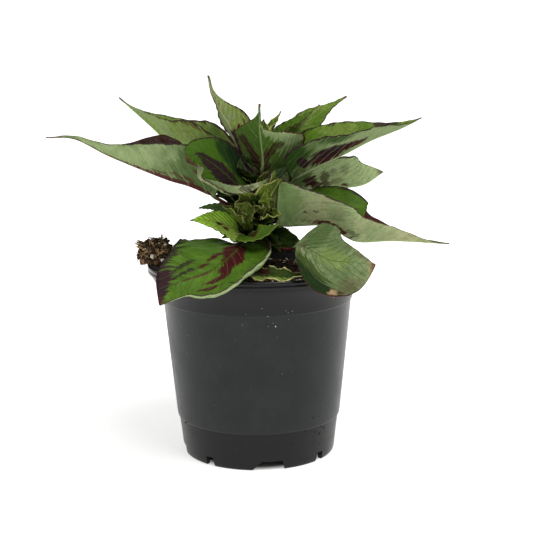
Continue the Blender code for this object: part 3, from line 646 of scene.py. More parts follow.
fibre_lines = []
for number in range(FIBRE_COUNT):
    spot = Vector(soil_spot(0.5))
    heading = draw.uniform(0, 2 * math.pi)
    path = [tuple(spot)]
    for _ in range(FIBRE_STEPS):
        heading += draw.uniform(-FIBRE_BEND, FIBRE_BEND)
        spot = spot + Vector((math.cos(heading), math.sin(heading), 0.0)) * draw.uniform(*FIBRE_STEP)
        if math.hypot(spot.x, spot.y) > FIBRE_LIMIT:
            break
        path.append((spot.x, spot.y, soil_height(spot.x, spot.y) + draw.uniform(*FIBRE_RISE)))
    if len(path) > 2:
        radii = [draw.uniform(*FIBRE_RADIUS)] * len(path)
        fibre_lines.append(fibre(path, radii, "fibre_%d" % number, 0))
fibres = joined("root_fibres", fibre_lines)
fibres.data.materials.append(ground_finish("root_tan", FIBRE_BROWN, FIBRE_TAN, 600.0, 0.8))
for piece in (crumbs, perlite, bark, fibres):
    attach(piece, "root")


# Specks on the pot wall: grains of perlite dust caught on the collar, and dark wet crumbs of mix low on the
# right. Most of each kind lie close together, and the rest are strewn over the front.
WALL_RADII, WALL_HEIGHTS = zip(*reversed(OUTER_LINE))
SPECK_COUNT = 12
SPECKS_TOGETHER = 9
SPECK_FRONT = (180, 360)
PALE_SPECK_LARGEST = 0.5
WET_DARK = screen_colour(10, 10, 9)
WET_BROWN = screen_colour(30, 27, 23)


def speck_places(middle, heights, sizes, spread, largest=None):
    """Where the specks sit on the outside of the wall; the first has the largest size, where one is given."""
    places = []
    for number in range(SPECK_COUNT):
        turn = draw.gauss(middle, 10) if number < SPECKS_TOGETHER else draw.uniform(*SPECK_FRONT)
        height = draw.uniform(*heights)
        radius = np.interp(height, WALL_HEIGHTS, WALL_RADII)
        size = largest if largest and number == 0 else draw.uniform(*sizes)
        spot = (radius * math.cos(math.radians(turn)), radius * math.sin(math.radians(turn)), height)
        places.append((spot, any_turn(), three_sizes(size, *spread)))
    return places


pale_places = speck_places(273, (104, 126), (0.12, 0.32), (0.7, 1.4), PALE_SPECK_LARGEST)
pale_specks = copies("pale_wall_specks", grain_pattern(), pale_places)
pale_specks.data.materials.append(perlite_finish)
dark_places = speck_places(308, (14, 36), (0.3, 0.6), (0.8, 1.2))
dark_specks = copies("dark_wall_specks", grain_pattern(2), dark_places)
dark_specks.data.materials.append(ground_finish("wet_crumb", WET_DARK, WET_BROWN, 900.0, 0.3))
for piece in (pale_specks, dark_specks):
    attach(piece, "root")


# The root clump: a lump of matted brown roots and mix with perlite caught in it. It lies loose on the soil
# against the left of the rim, and root ends stand out of it.
CLUMP_MIDDLE = (-71.0, -4.0, 144.0)
CLUMP_SIZE = (12.0, 16.0, 9.5)
CLUMP_CORE = 0.86
CLUMP_STRANDS = 150
CLUMP_ROOT_ENDS = 16
STRAND_THICK = (0.22, 0.6)
CLUMP_CRUMBS = 300
CLUMP_CRUMB_SIZE = (0.5, 1.5)
PERLITE_EVERY = 30
STRAND_TAPER = (1.0, 1.0, 0.9, 0.8, 0.6, 0.35)
ROOT_END_RADII = (0.9, 0.9, 0.85, 0.75, 0.6, 0.35)
ON_RIM_HEIGHT = POT_HEIGHT + 0.5
RIM_SPAN = (RIM_RADIUS - 3.9, RIM_RADIUS + 1.1)
OUTSIDE_HEIGHT = POT_HEIGHT - 6.0
CLUMP_DARK = screen_colour(20, 14, 10)
CLUMP_BROWN = screen_colour(152, 120, 84)
STRAND_TAN = screen_colour(188, 156, 112)
CLUMP_STONES = (((-72.5, -17.5, 144.0), 2.3), ((-65.5, -19.5, 142.5), 2.0), ((-77.5, -13.0, 148.5), 1.2),
                ((-69.0, -13.0, 150.5), 1.1))


def clump_spot(turn, rise, depth):
    """A place on the clump at a compass angle, a rise (-1 to 1) and a share of its size from the middle."""
    flat = math.sqrt(max(0.0, 1 - rise * rise))
    way = Vector((math.cos(turn) * flat, math.sin(turn) * flat, rise))
    swell = 1 + 0.35 * noise.noise(way * 1.9 + Vector((4, 1, 7))) + 0.14 * noise.noise(way * 5.0)
    spot = Vector([way[axis] * swell * CLUMP_SIZE[axis] * depth + CLUMP_MIDDLE[axis] for axis in range(3)])
    reach = math.hypot(spot.x, spot.y)
    if RIM_SPAN[0] < reach < RIM_SPAN[1]:
        ground = ON_RIM_HEIGHT
    elif reach < RIM_SPAN[0]:
        ground = soil_height(spot.x, spot.y) + 1.0
    else:
        ground = OUTSIDE_HEIGHT
    spot.z = max(spot.z, ground)
    return spot


clump = grain_pattern(5)
clump.name = "root_clump_core"
for vertex in clump.data.vertices:
    way = vertex.co.normalized()
    spot = clump_spot(math.atan2(way.y, way.x), way.z, CLUMP_CORE)
    rough = noise.noise(spot * 0.5) * 1.3 + noise.noise(spot * 1.3) * 0.8
    vertex.co = (spot + way * rough) * MM
bpy.ops.object.shade_smooth()
clump.data.materials.append(ground_finish("matted_roots", CLUMP_DARK, CLUMP_BROWN, 380.0))
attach(clump, "root")
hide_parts("root_clump")

strand_lines = []
for number in range(CLUMP_STRANDS):
    turn = draw.uniform(0, 2 * math.pi)
    rise = draw.uniform(-0.35, 1.0)
    path = []
    for step in range(6):
        path.append(clump_spot(turn, rise, 0.9 + 0.07 * draw.random() + (0.0 if number % 5 else 0.05 * step)))
        turn += draw.uniform(-0.35, 0.35)
        rise = min(max(rise + draw.uniform(-0.22, 0.22), -0.4), 1.0)
    thick = draw.uniform(*STRAND_THICK)
    strand_lines.append(fibre(path, [thick * share for share in STRAND_TAPER], "strand_%d" % number, 0))
for number in range(CLUMP_ROOT_ENDS):
    turn = 2.4 * number + 0.5
    rise = 0.15 + 0.75 * ((number * 0.618) % 1.0)
    path = [clump_spot(turn + 0.06 * step * math.sin(number), rise, 0.6 + 0.13 * step) for step in range(6)]
    strand_lines.append(fibre(path, ROOT_END_RADII, "root_end_%d" % number, 1))
strands = joined("clump_strands", strand_lines)
strands.data.materials.append(ground_finish("root_strands", BARK_DARK, STRAND_TAN, 260.0, 0.8))

clump_places = []
perlite_in_clump = []
for number in range(CLUMP_CRUMBS):
    spot = clump_spot(draw.uniform(0, 2 * math.pi), draw.uniform(-0.3, 1.0), draw.uniform(0.88, 1.0))
    size = draw.uniform(*CLUMP_CRUMB_SIZE)
    entry = (tuple(spot), any_turn(), three_sizes(size, 0.7, 1.2))
    (clump_places if number % PERLITE_EVERY else perlite_in_clump).append(entry)
for spot, size in CLUMP_STONES:
    perlite_in_clump.append((spot, any_turn(), [size, size * 0.8, size * 0.7]))
clump_crumbs = copies("clump_crumbs", grain_pattern(), clump_places)
clump_crumbs.data.materials.append(soil_finish)
clump_perlite = copies("clump_perlite", grain_pattern(), perlite_in_clump)
clump_perlite.data.materials.append(perlite_finish)
for piece in (strands, clump_crumbs, clump_perlite):
    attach(piece, "root")


# The stem: one upright green stem, flushed dark red, a little ribbed and swollen where each leaf leaves it.
# It stands in a plain hole in the soil.
STEM_LINE = ((-4, 3, 125), (-4, 3, 140), (-2, 2, 165), (0, 1, 188), (1, 1, 203))
STEM_FOOT_RADIUS = 4.0
STEM_TOP_RADIUS = 2.4
STEM_SIDES = 24
STEM_RINGS = 70
STEM_RIBS = 6
RIB_DEPTH = 0.05
STEM_NODES = (142, 150, 158, 165, 171, 178, 185, 190, 197)
NODE_SWELL = 0.09
NODE_LENGTH = 1.8
STEM_GREEN = screen_colour(72, 82, 30)
STEM_RED = screen_colour(66, 22, 22)


def smooth_line(points, samples):
    """Points at even steps along a smooth line through the given ones, and the line's length."""
    given = np.array(points, dtype=float)
    knots = np.vstack([2 * given[0] - given[1], given, 2 * given[-1] - given[-2]])
    dense = []
    for index in range(len(given) - 1):
        p0, p1, p2, p3 = knots[index:index + 4]
        for step in np.linspace(0.0, 1.0, 24, endpoint=False):
            squared = (2 * p0 - 5 * p1 + 4 * p2 - p3) * step ** 2
            cubed = (3 * p1 - p0 - 3 * p2 + p3) * step ** 3
            dense.append(0.5 * (2 * p1 + (p2 - p0) * step + squared + cubed))
    dense.append(given[-1])
    dense = np.array(dense)
    lengths = np.concatenate([[0.0], np.cumsum(np.linalg.norm(np.diff(dense, axis=0), axis=1))])
    wanted = np.asarray(samples) * lengths[-1]
    line = np.stack([np.interp(wanted, lengths, dense[:, axis]) for axis in range(3)], axis=1)
    return line, lengths[-1]


def stem_finish():
    """Green skin with long dark red streaks."""
    finish, shader, where = new_finish("stem_green_red", 0.42, 0.4)
    streaks = speckle(stretched(where, (300.0, 300.0, 26.0)), 2.0, 3.0)
    feed(shader.inputs["Base Color"], mixed(soft_step(streaks, 0.42, 0.62), STEM_GREEN, STEM_RED))
    give_bump(shader, streaks, 0.4, 0.4 * MM)
    return finish


clear_choice()
bpy.ops.mesh.primitive_cylinder_add(vertices=STEM_SIDES, radius=1.0, depth=1.0, end_fill_type="NGON")
stem = bpy.context.object
stem.name = "ribbed_stem"
bpy.ops.object.mode_set(mode="EDIT")
for ring in range(1, STEM_RINGS):
    bpy.ops.mesh.select_all(action="SELECT")
    bpy.ops.mesh.bisect(plane_co=(0.0, 0.0, ring / STEM_RINGS - 0.5), plane_no=(0.0, 0.0, 1.0))
bpy.ops.object.mode_set(mode="OBJECT")
stem_path, _ = smooth_line(STEM_LINE, np.linspace(0.0, 1.0, STEM_RINGS + 1))
for vertex in stem.data.vertices:
    share = vertex.co.z + 0.5
    place = stem_path[round(share * STEM_RINGS)]
    turn = math.atan2(vertex.co.y, vertex.co.x)
    radius = STEM_FOOT_RADIUS + (STEM_TOP_RADIUS - STEM_FOOT_RADIUS) * share
    swollen = sum(math.exp(-((place[2] - height) / NODE_LENGTH) ** 2) for height in STEM_NODES)
    radius *= 1 + RIB_DEPTH * math.cos(STEM_RIBS * turn) + NODE_SWELL * swollen
    outward = Vector((math.cos(turn), math.sin(turn), 0.0))
    vertex.co = (Vector(place) + outward * radius) * MM
bpy.ops.object.shade_smooth()
stem.data.materials.append(stem_finish())
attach(stem, "root")
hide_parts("stem")


# The large leaves: each is one thin pointed blade on a round stalk that grows from the stem, folded up along
# its midrib and waved at its edge. The upper face is satin green with dark red marks that run out along the
# side veins, and the underside is paler and dull, with raised veins.
BLADE_THICKNESS = 0.42
STALK_RADIUS = 1.25
STALK_THICKNESS = 2.5
STALK_HALF_WIDTH = 1.2
STALK_HOLLOW = 0.9
STALK_LIFT = 20
STALK_SINK = -1.2
TIP_HALF_WIDTH = 0.35
OPENING = 0.07
RIDGE_WIDTH = 1.5
RIDGE_HEIGHT = 0.62
RIDGE_NARROWING = 0.7
RIDGE_SINKING = 0.85
FOLD_DEPTH = 0.35
FOLD_WIDTH = 1.1
VEIN_SLANT = 1.2
VEIN_ARCH = 1.4
VEIN_COUNT = 10.0
VEIN_OFFSET = 0.25
QUILT_FROM = 0.16
RIB_SAMPLES = 161
RIB_SMOOTHING = 11
BEND_STEPS = 12
COLUMN_CROWDING = 1.35
MARK_FEATHERS = 4.2
MARK_CRUMBLE = 2.2
UPPER_SATIN = dict(roughness=0.4, shine=0.09)
UNDER_DULL = dict(roughness=0.62, shine=0.06)
# The quilted share lays olive along the side veins as painted shade for the grooves they sink into.
LAYER_SHARES = dict(mottled=0.75, brushed=0.16, shaded=0.30, creased=0.24, quilted=0.14, netted=0.16,
                    edged=0.92, ribbed=0.7, tipped=0.75)
LARGE_LEAF = dict(blade_rows=74, stalk_rows=14, half_columns=15, veins=VEIN_COUNT, relief=0.45,
                  slim_base=STALK_HALF_WIDTH)
FRESH = screen_colour(60, 92, 16)
BRIGHT = screen_colour(86, 120, 30)
DEEP = screen_colour(28, 56, 10)
DARK_GREEN = screen_colour(17, 40, 9)
# A near-black green, used only as painted shade on the front left leaf.
PAINTED_SHADE_GREEN = screen_colour(7, 26, 3)
OLIVE = screen_colour(54, 70, 20)
MEADOW = screen_colour(112, 142, 80)
PALE = screen_colour(134, 150, 104)
GREY_GREEN = screen_colour(104, 124, 78)
MOSS = screen_colour(68, 92, 42)
YELLOW_GREEN = screen_colour(132, 153, 70)
# A lime lighter than any leaf's own green: painted light on the small left leaf, which lies in the shade of
# the large ones.
LIME = screen_colour(198, 255, 84)
SILVER = screen_colour(164, 184, 128)
STONE_GREEN = screen_colour(150, 157, 114)
SAND_GREEN = screen_colour(170, 172, 128)
PALE_VEIN = screen_colour(168, 180, 136)
GREEN_VEIN = screen_colour(108, 146, 66)
CREAM_VEIN = screen_colour(176, 166, 124)
OLIVE_VEIN = screen_colour(66, 84, 34)
WINE = screen_colour(68, 12, 24)
MAROON = screen_colour(50, 14, 20)
PURPLE = screen_colour(50, 24, 36)
BROWN_PURPLE = screen_colour(38, 19, 25)
BURGUNDY = screen_colour(82, 34, 40)
UMBER = screen_colour(50, 28, 18)
DRY = screen_colour(172, 146, 108)
STRAW = screen_colour(200, 192, 128)

# One entry a leaf: the same figures as the solid has, then the look of its two faces. "root" is the height
# and compass angle at which the stalk leaves the stem, "stalk" the share that is bare, "face" the way the
# upper side looks at the root and at the tip (straight up if it isn't given), "half" the half widths, "lift"
# and "arch" how the halves fold, "shape" the outline, "wave" the edge and "rib" the midrib. A face has pale
# side veins and a purple edge if no others are given. A mark is (along, across, length, width, raggedness,
# colour, strength); "across" is positive on the left half.
LEAVES = {
    "leaf_long_left": dict(
        root=(171, 195), stalk=0.2, half=(30, 29), lift=((76, 66), (70, 62)),
        shape=((0.16, 1.0, 2.5), (0.37, 1.5, 4.4)), wave=(0.8, 2.5, 0.4),
        rib=((-17, -7, 178), (-28, -13, 185), (-45, -19, 194), (-62, -23, 200), (-98, -30, 216),
             (-121, -33, 228), (-140, -34, 229)),
        upper=dict(greens=(FRESH, FRESH, DEEP), vein=GREEN_VEIN, edge=MAROON, edge_width=0.5),
        under=dict(
            greens=(GREY_GREEN, PALE, GREY_GREEN), vein=SILVER, edge_width=0.035, rib=BURGUNDY,
            vein_show=0.42,
            # The first mark, moss green near the base, is painted shadow of the hood.
            marks=((0.17, 0.5, 0.14, 0.7, 0.25, MOSS, 0.6), (0.62, 0.3, 0.2, 0.6, 0.3, SILVER, 0.35),
                   (0.26, 0.03, 0.22, 0.03, 0.5, BURGUNDY, 0.9),
                   (0.2, 0.12, 0.05, 0.06, 0.9, BURGUNDY, 0.7),
                   (0.28, 0.17, 0.04, 0.04, 0.9, BURGUNDY, 0.6),
                   (0.36, 0.1, 0.05, 0.03, 0.9, BURGUNDY, 0.6),
                   (0.16, 0.33, 0.03, 0.05, 0.9, BURGUNDY, 0.6)))),
    "leaf_upper_left": dict(
        root=(192, 165), stalk=0.12, half=(28, 29), lift=((66, 55), (60, 50)),
        shape=((0.4, 1.2, 2.4), (0.36, 1.2, 2.3)), wave=(1.2, 2.5, 1.2),
        rib=((-18, 9, 201), (-29, 12, 205), (-43, 16, 210), (-54, 19, 215), (-64, 22, 222),
             (-75, 26, 232), (-97, 32, 251)),
        upper=dict(greens=(YELLOW_GREEN, YELLOW_GREEN, BRIGHT), edge_width=0.07),
        under=dict(
            greens=(YELLOW_GREEN, YELLOW_GREEN, PALE), vein=SILVER, edge_width=0.055, vein_show=0.7,
            marks=((0.2, 0.5, 0.14, 0.5, 0.3, MOSS, 0.35), (0.8, 0.7, 0.2, 0.4, 0.4, PALE, 0.5),
                   (0.4, 0.92, 0.14, 0.06, 0.9, BURGUNDY, 0.6)))),
    "leaf_top": dict(
        root=(199, 125), stalk=0.24, face=((0.2, -1, 0.2), (0.2, -1, 0.2)), half=(8, 15),
        lift=((60, 40), (15, 10)), arch=(0, 10), shape=((0.3, 1.0, 3.4), (0.3, 1.0, 2.9)),
        wave=(1.0, 2.0, 0.0),
        rib=((-7, 6, 205), (-14, 11, 223), (-19, 15, 233), (-24, 19, 241), (-30, 25, 253),
             (-33, 30, 266)),
        upper=dict(
            greens=(YELLOW_GREEN, YELLOW_GREEN, PALE), vein=CREAM_VEIN, edge_width=0.10, rib=CREAM_VEIN,
            stalk_colour=PURPLE, stalk_run=0.32,
            marks=((0.26, -0.4, 0.035, 0.2, 0.9, WINE, 0.95), (0.3, -0.7, 0.04, 0.06, 0.9, WINE, 0.8),
                   (0.32, 0.7, 0.5, 0.55, 0.2, GREY_GREEN, 0.85),
                   (0.3, 1.0, 0.4, 0.22, 0.7, PURPLE, 0.8))),
        under=dict(greens=(MOSS, YELLOW_GREEN, MOSS), edge=WINE, edge_width=0.05)),
    "leaf_hood": dict(
        root=(198, 280), stalk=0.1, face=((0, 1, 0.5), (0, 1, 0.3)), half=(31, 22),
        lift=((12, 12), (25, 25)), arch=(20, 40), shape=((0.42, 1.3, 7.0), (0.5, 1.3, 3.0)),
        wave=(1.0, 2.0, 0.6),
        rib=((4, -8, 202), (5, -15, 211), (4, -23, 222), (3, -29, 232), (3, -37, 250)),
        upper=dict(greens=(DEEP, FRESH, DARK_GREEN), vein=GREEN_VEIN, edge=WINE, edge_width=0.05),
        under=dict(
            greens=(OLIVE, FRESH, FRESH), vein=PALE, edge=WINE, edge_width=0.06, rib=PALE,
            vein_show=0.42,
            marks=((0.5, 0.8, 0.3, 0.45, 0.5, PALE, 0.85), (0.47, -0.62, 0.1, 0.2, 0.3, UMBER, 0.85),
                   (0.35, -0.47, 0.12, 0.2, 0.25, UMBER, 0.9),
                   (0.21, -0.34, 0.13, 0.24, 0.2, UMBER, 0.9), (0.25, 0.07, 0.1, 0.11, 0.3, UMBER, 0.9),
                   (0.33, 0.18, 0.07, 0.12, 0.3, UMBER, 0.85),
                   (0.4, 0.36, 0.05, 0.15, 0.35, UMBER, 0.8),
                   (0.08, -0.15, 0.11, 0.55, 0.2, UMBER, 0.85)))),
    "leaf_upper_right": dict(
        root=(197, 50), stalk=0.16, face=((0, -0.6, 0.8), (0, -0.6, 0.8)), half=(9, 12),
        lift=((20, 20), (5, 20)), shape=(0.5, 1.2, 2.0), wave=(1.2, 2.0, 2.0),
        rib=((12, 9, 209), (21, 14, 220), (32, 20, 229), (43, 25, 237), (54, 30, 243), (66, 34, 250)),
        upper=dict(greens=(BRIGHT, BRIGHT, YELLOW_GREEN), vein=YELLOW_GREEN, edge_width=0.10),
        under=dict(greens=(MOSS, YELLOW_GREEN, MOSS), edge_width=0.08)),
    "leaf_young_right": dict(
        root=(196, 5), stalk=0.16, face=((-0.2, 0, 1), (-0.2, 0, 1)), half=(14, 11),
        lift=((65, 50), (50, 40)), shape=(0.4, 1.2, 1.8), wave=(0.7, 2.0, 0.0),
        rib=((11, 2, 208), (20, 4, 219), (30, 6, 228), (38, 8, 237), (45, 10, 246)),
        upper=dict(greens=(BRIGHT, BRIGHT, FRESH), vein=GREEN_VEIN, edge=WINE, edge_width=0.06),
        under=dict(
            greens=(YELLOW_GREEN, YELLOW_GREEN, MOSS), edge=WINE, edge_width=0.06,
            marks=((0.3, -0.4, 0.3, 0.5, 0.6, MOSS, 0.6),))),
    "leaf_right_big": dict(
        root=(185, 340), stalk=0.2, half=(31, 23), lift=((62, 50), (52, 42)), shape=(0.2, 1.0, 1.7),
        wave=(1.4, 2.5, 0.0),
        rib=((15, -6, 192), (26, -10, 197), (33, -12, 201), (44, -16, 207), (61, -20, 215),
             (78, -24, 224), (98, -27, 232), (112, -28, 239)),
        upper=dict(
            greens=(BRIGHT, BRIGHT, YELLOW_GREEN), vein=YELLOW_GREEN, edge_width=0.06,
            marks=((0.72, 0.8, 0.05, 0.25, 0.9, PURPLE, 0.9), (0.8, 0.7, 0.04, 0.3, 0.9, PURPLE, 0.8))),
        under=dict(
            greens=(OLIVE, GREY_GREEN, MOSS), edge_width=0.055, vein_show=0.4, slant=2.4,
            # The deep green patch at the base of the near half, the second mark, is painted shade.
            marks=((0.7, -0.4, 0.36, 0.6, 0.3, PALE, 0.8), (0.13, -0.75, 0.13, 0.5, 0.3, DEEP, 0.9),
                   (0.46, -0.8, 0.1, 0.2, 0.6, DEEP, 0.75), (0.32, -0.2, 0.14, 0.2, 0.3, MAROON, 0.97),
                   (0.4, -0.33, 0.15, 0.2, 0.3, BROWN_PURPLE, 0.95),
                   (0.52, -0.25, 0.1, 0.15, 0.4, MAROON, 0.95),
                   (0.3, -0.42, 0.07, 0.1, 0.5, BROWN_PURPLE, 0.85),
                   (0.165, -0.36, 0.042, 0.24, 0.2, BROWN_PURPLE, 0.97)))),
    "leaf_right_mid": dict(
        root=(178, 20), stalk=0.18, half=(20, 26), lift=((60, 50), (76, 60)), shape=(0.68, 1.4, 1.0),
        wave=(1.0, 2.0, 0.5),
        rib=((10, 5, 186), (20, 7, 190), (31, 8, 189), (45, 12, 187), (64, 16, 187), (78, 18, 189),
             (91, 20, 197)),
        upper=dict(greens=(FRESH, FRESH, DEEP), vein=GREEN_VEIN, edge_width=0.06),
        under=dict(
            greens=(GREY_GREEN, SILVER, SILVER), edge_width=0.05, vein_show=0.4,
            marks=((0.2, -0.3, 0.1, 0.6, 0.4, MOSS, 0.8), (0.29, -0.24, 0.07, 0.22, 0.4, MAROON, 0.93),
                   (0.35, -0.12, 0.07, 0.12, 0.4, MAROON, 0.9),
                   (0.42, -0.38, 0.05, 0.2, 0.4, MAROON, 0.75),
                   (0.44, -0.16, 0.05, 0.12, 0.4, MAROON, 0.75),
                   (0.53, -0.22, 0.05, 0.09, 0.6, BURGUNDY, 0.4),
                   (0.61, -0.6, 0.04, 0.14, 0.9, PURPLE, 0.4),
                   (0.5, -0.55, 0.03, 0.08, 0.9, PURPLE, 0.4), (0.62, -0.08, 0.03, 0.05, 0.5, WINE, 0.9)))),
    "leaf_right_low": dict(
        root=(159, 335), stalk=0.12, half=(31, 35), lift=((55, 52), (95, 72, 45, 75, 65, 55)),
        shape=((0.35, 1.0, 2.7), (0.12, 0.8, 2.0)), wave=(1.2, 2.5, 0.0),
        rib=((10, -6, 163), (19, -9, 164), (30, -13, 165), (43, -18, 166), (52, -21, 165),
             (62, -24, 158), (72, -27, 155), (94, -31, 156), (131, -36, 154)),
        upper=dict(
            greens=(BRIGHT, BRIGHT, FRESH), vein=GREEN_VEIN, edge_width=0.05,
            marks=((0.57, 0.9, 0.09, 0.4, 0.4, WINE, 0.95),)),
        under=dict(
            greens=(PALE, SAND_GREEN, SILVER), vein=SILVER, edge_width=0.035, vein_show=0.36,
            marks=((0.1, -0.6, 0.1, 0.55, 0.4, MEADOW, 0.6),
                   # The grey-green band below is painted shade.
                   (0.34, -0.6, 0.04, 0.4, 0.6, GREY_GREEN, 0.5),
                   (0.62, -0.3, 0.1, 0.5, 0.5, PALE, 0.5), (0.32, -0.06, 0.12, 0.08, 0.6, WINE, 0.95),
                   (0.2, -0.3, 0.015, 0.03, 0.5, WINE, 0.8), (0.26, -0.38, 0.015, 0.03, 0.5, WINE, 0.8),
                   (0.46, -0.2, 0.05, 0.1, 0.5, DEEP, 0.5)))),
    "leaf_front_left": dict(
        root=(190, 250), stalk=0.12, face=((0, -0.8, 0.6), (0, -0.8, 0.6)), half=(25, 20),
        lift=((0, 0), (0, 10)), arch=(110, 0), shape=((0.74, 3.2, 0.5), (0.6, 1.0, 1.0)),
        wave=(1.0, 2.0, 0.0),
        rib=((-6, -14, 192), (-14, -23, 196), (-22, -30, 204), (-31, -36, 212), (-40, -40, 217),
             (-46, -42, 213)),
        upper=dict(
            greens=(DARK_GREEN, FRESH, FRESH), vein=FRESH, edge=BROWN_PURPLE, edge_width=0.09,
            # The first two marks, dark and near-black green, are painted shade where the blade curves away
            # from the light.
            marks=((0.38, -0.8, 0.36, 0.55, 0.12, DARK_GREEN, 0.9),
                   (0.3, -0.85, 0.3, 0.45, 0.12, PAINTED_SHADE_GREEN, 0.9),
                   (0.81, -0.06, 0.08, 0.14, 0.2, BROWN_PURPLE, 0.95),
                   (0.68, 0.03, 0.14, 0.22, 0.14, BROWN_PURPLE, 0.98),
                   (0.52, 0.06, 0.18, 0.32, 0.12, BROWN_PURPLE, 0.98),
                   (0.36, 0.16, 0.16, 0.4, 0.12, BROWN_PURPLE, 0.98))),
        under=dict(greens=(PALE, STONE_GREEN, PALE), edge_width=0.04)),
    "leaf_front_big": dict(
        root=(147, 235), stalk=0.14, face=((-0.2, -0.4, 0.9), (-0.4, -0.6, 0.7)), half=(34, 35),
        lift=((-18, -24, -42), (28, 12)), arch=(120, 10), shape=((0.4, 0.6, 1.0), (0.4, 1.4, 1.0)),
        wave=(1.2, 2.5, 0.0),
        rib=((-8, -8, 151), (-12, -22, 151), (-19, -46, 148), (-27, -61, 145), (-34, -71, 143),
             (-44, -79, 141), (-53, -85, 138), (-63, -91, 126)),
        upper=dict(
            greens=(FRESH, BRIGHT, FRESH), vein=GREEN_VEIN, edge=BROWN_PURPLE, edge_width=0.06,
            rib=FRESH,
            marks=((0.16, -0.03, 0.17, 0.27, 0.15, WINE, 0.98),
                   (0.31, 0.1, 0.14, 0.19, 0.2, WINE, 0.98), (0.44, 0.18, 0.1, 0.11, 0.3, WINE, 0.97),
                   (0.56, 0.29, 0.11, 0.06, 0.3, WINE, 0.95), (0.66, 0.44, 0.07, 0.045, 0.4, WINE, 0.9),
                   (0.38, -0.22, 0.12, 0.045, 0.4, WINE, 0.95),
                   (0.55, -0.18, 0.1, 0.035, 0.5, WINE, 0.9),
                   (0.64, 0.03, 0.16, 0.03, 0.5, BURGUNDY, 0.85),
                   (0.68, -0.44, 0.13, 0.06, 0.7, BROWN_PURPLE, 0.85),
                   (0.74, -0.22, 0.12, 0.05, 0.7, BROWN_PURPLE, 0.85),
                   (0.92, -0.6, 0.13, 0.55, 0.45, PURPLE, 0.97),
                   (0.72, -1.0, 0.34, 0.2, 0.7, BROWN_PURPLE, 0.85),
                   (0.24, 0.95, 0.2, 0.2, 0.6, BROWN_PURPLE, 0.85))),
        under=dict(greens=(PALE, SILVER, PALE), edge_width=0.03)),
    "leaf_front_right": dict(
        root=(150, 320), stalk=0.46, face=((0, -0.3, 1), (-0.2, -1, 0.5)), half=(25, 25),
        lift=((0, 0), (0, 0)), arch=(10, 10), shape=((0.24, 0.5, 1.3), (0.68, 4.0, 0.9)),
        wave=(1.5, 2.5, 0.0),
        rib=((12, -18, 151), (21, -38, 152), (28, -56, 158), (36, -68, 156), (48, -76, 151),
             (62, -79, 150), (77, -78, 148)),
        upper=dict(
            greens=(GREY_GREEN, GREY_GREEN, PALE), vein=OLIVE_VEIN, edge=UMBER, edge_width=0.035,
            rib=OLIVE_VEIN, vein_show=0.4,
            # The moss mark on the left half and the olive and dark green marks on the narrow right half are
            # painted shade.
            marks=((0.25, 0.45, 0.14, 0.5, 0.4, MOSS, 0.7),
                   (0.6, 0.1, 0.2, 0.3, 0.5, YELLOW_GREEN, 0.4),
                   (0.42, -0.75, 0.22, 0.4, 0.3, OLIVE, 0.9),
                   (0.5, -0.95, 0.2, 0.34, 0.3, DARK_GREEN, 0.92),
                   (0.64, -0.96, 0.03, 0.16, 0.4, DRY, 0.95),
                   (0.24, -0.35, 0.04, 0.09, 0.9, CREAM_VEIN, 0.7),
                   (0.2, -0.1, 0.06, 0.16, 0.9, BURGUNDY, 0.5),
                   (0.76, -0.8, 0.12, 0.3, 0.7, BURGUNDY, 0.4),
                   (0.85, 0.7, 0.12, 0.25, 0.8, BURGUNDY, 0.4), (0.97, 0.0, 0.05, 1.2, 0.5, DRY, 0.45))),
        under=dict(greens=(MOSS, GREY_GREEN, MOSS), edge=BURGUNDY, edge_width=0.04)),
    "leaf_small_left": dict(
        root=(151, 205), stalk=0.15, face=((0, -0.5, 0.85), (0, -0.5, 0.85)), half=(15, 11),
        lift=((0, -10), (20, 15)), shape=(0.4, 1.2, 1.6), wave=(0.5, 2.0, 0.0),
        rib=((-12, -8, 158), (-20, -14, 165), (-29, -20, 169), (-37, -25, 171), (-45, -28, 171)),
        upper=dict(
            # The lime greens are painted light.
            greens=(LIME, LIME, YELLOW_GREEN), vein=STRAW, edge=DEEP, edge_width=0.05, vein_show=0.4,
            marks=((0.54, 0.14, 0.07, 0.14, 0.5, WINE, 0.95), (0.44, 0.32, 0.07, 0.14, 0.5, WINE, 0.95))),
        under=dict(greens=(MOSS, YELLOW_GREEN, MOSS), edge=DEEP, edge_width=0.04)),
    "leaf_small_left_back": dict(
        root=(159, 165), stalk=0.2, face=((0, -0.3, 0.9), (0, -0.3, 0.9)), half=(7, 7),
        lift=((20, 15), (20, 15)), shape=(0.5, 1.2, 1.4), wave=(0.4, 2.0, 0.0),
        rib=((-14, 2, 165), (-21, 6, 171), (-31, 8, 174), (-41, 10, 174)),
        upper=dict(greens=(MOSS, GREY_GREEN, DEEP), vein=GREEN_VEIN, edge=DEEP, edge_width=0.05),
        under=dict(greens=(MOSS, GREY_GREEN, MOSS), edge=DEEP, edge_width=0.04)),
    "leaf_small_right": dict(
        root=(155, 272), stalk=0.2, face=((0, -0.3, 0.9), (-0.3, -0.3, 0.9)), half=(10, 10),
        lift=((35, 25), (15, 5)), shape=(0.4, 1.2, 1.6), wave=(0.4, 2.0, 0.0),
        rib=((-5, -17, 157), (-2, -25, 158), (6, -30, 162), (16, -31, 169)),
        upper=dict(
            greens=(FRESH, BRIGHT, FRESH), vein=YELLOW_GREEN, edge=YELLOW_GREEN, edge_width=0.05,
            marks=((0.36, 0.4, 0.14, 0.34, 0.7, WINE, 0.97),)),
        under=dict(
            greens=(FRESH, BRIGHT, MOSS), vein=YELLOW_GREEN, edge=YELLOW_GREEN, edge_width=0.05,
            marks=((0.36, 0.4, 0.14, 0.34, 0.7, WINE, 0.97),))),
    "leaf_soil": dict(
        root=(142, 275), stalk=0.5, half=(8, 10.5), lift=((30, 30), (-8, -8)), shape=(0.45, 1.2, 1.4),
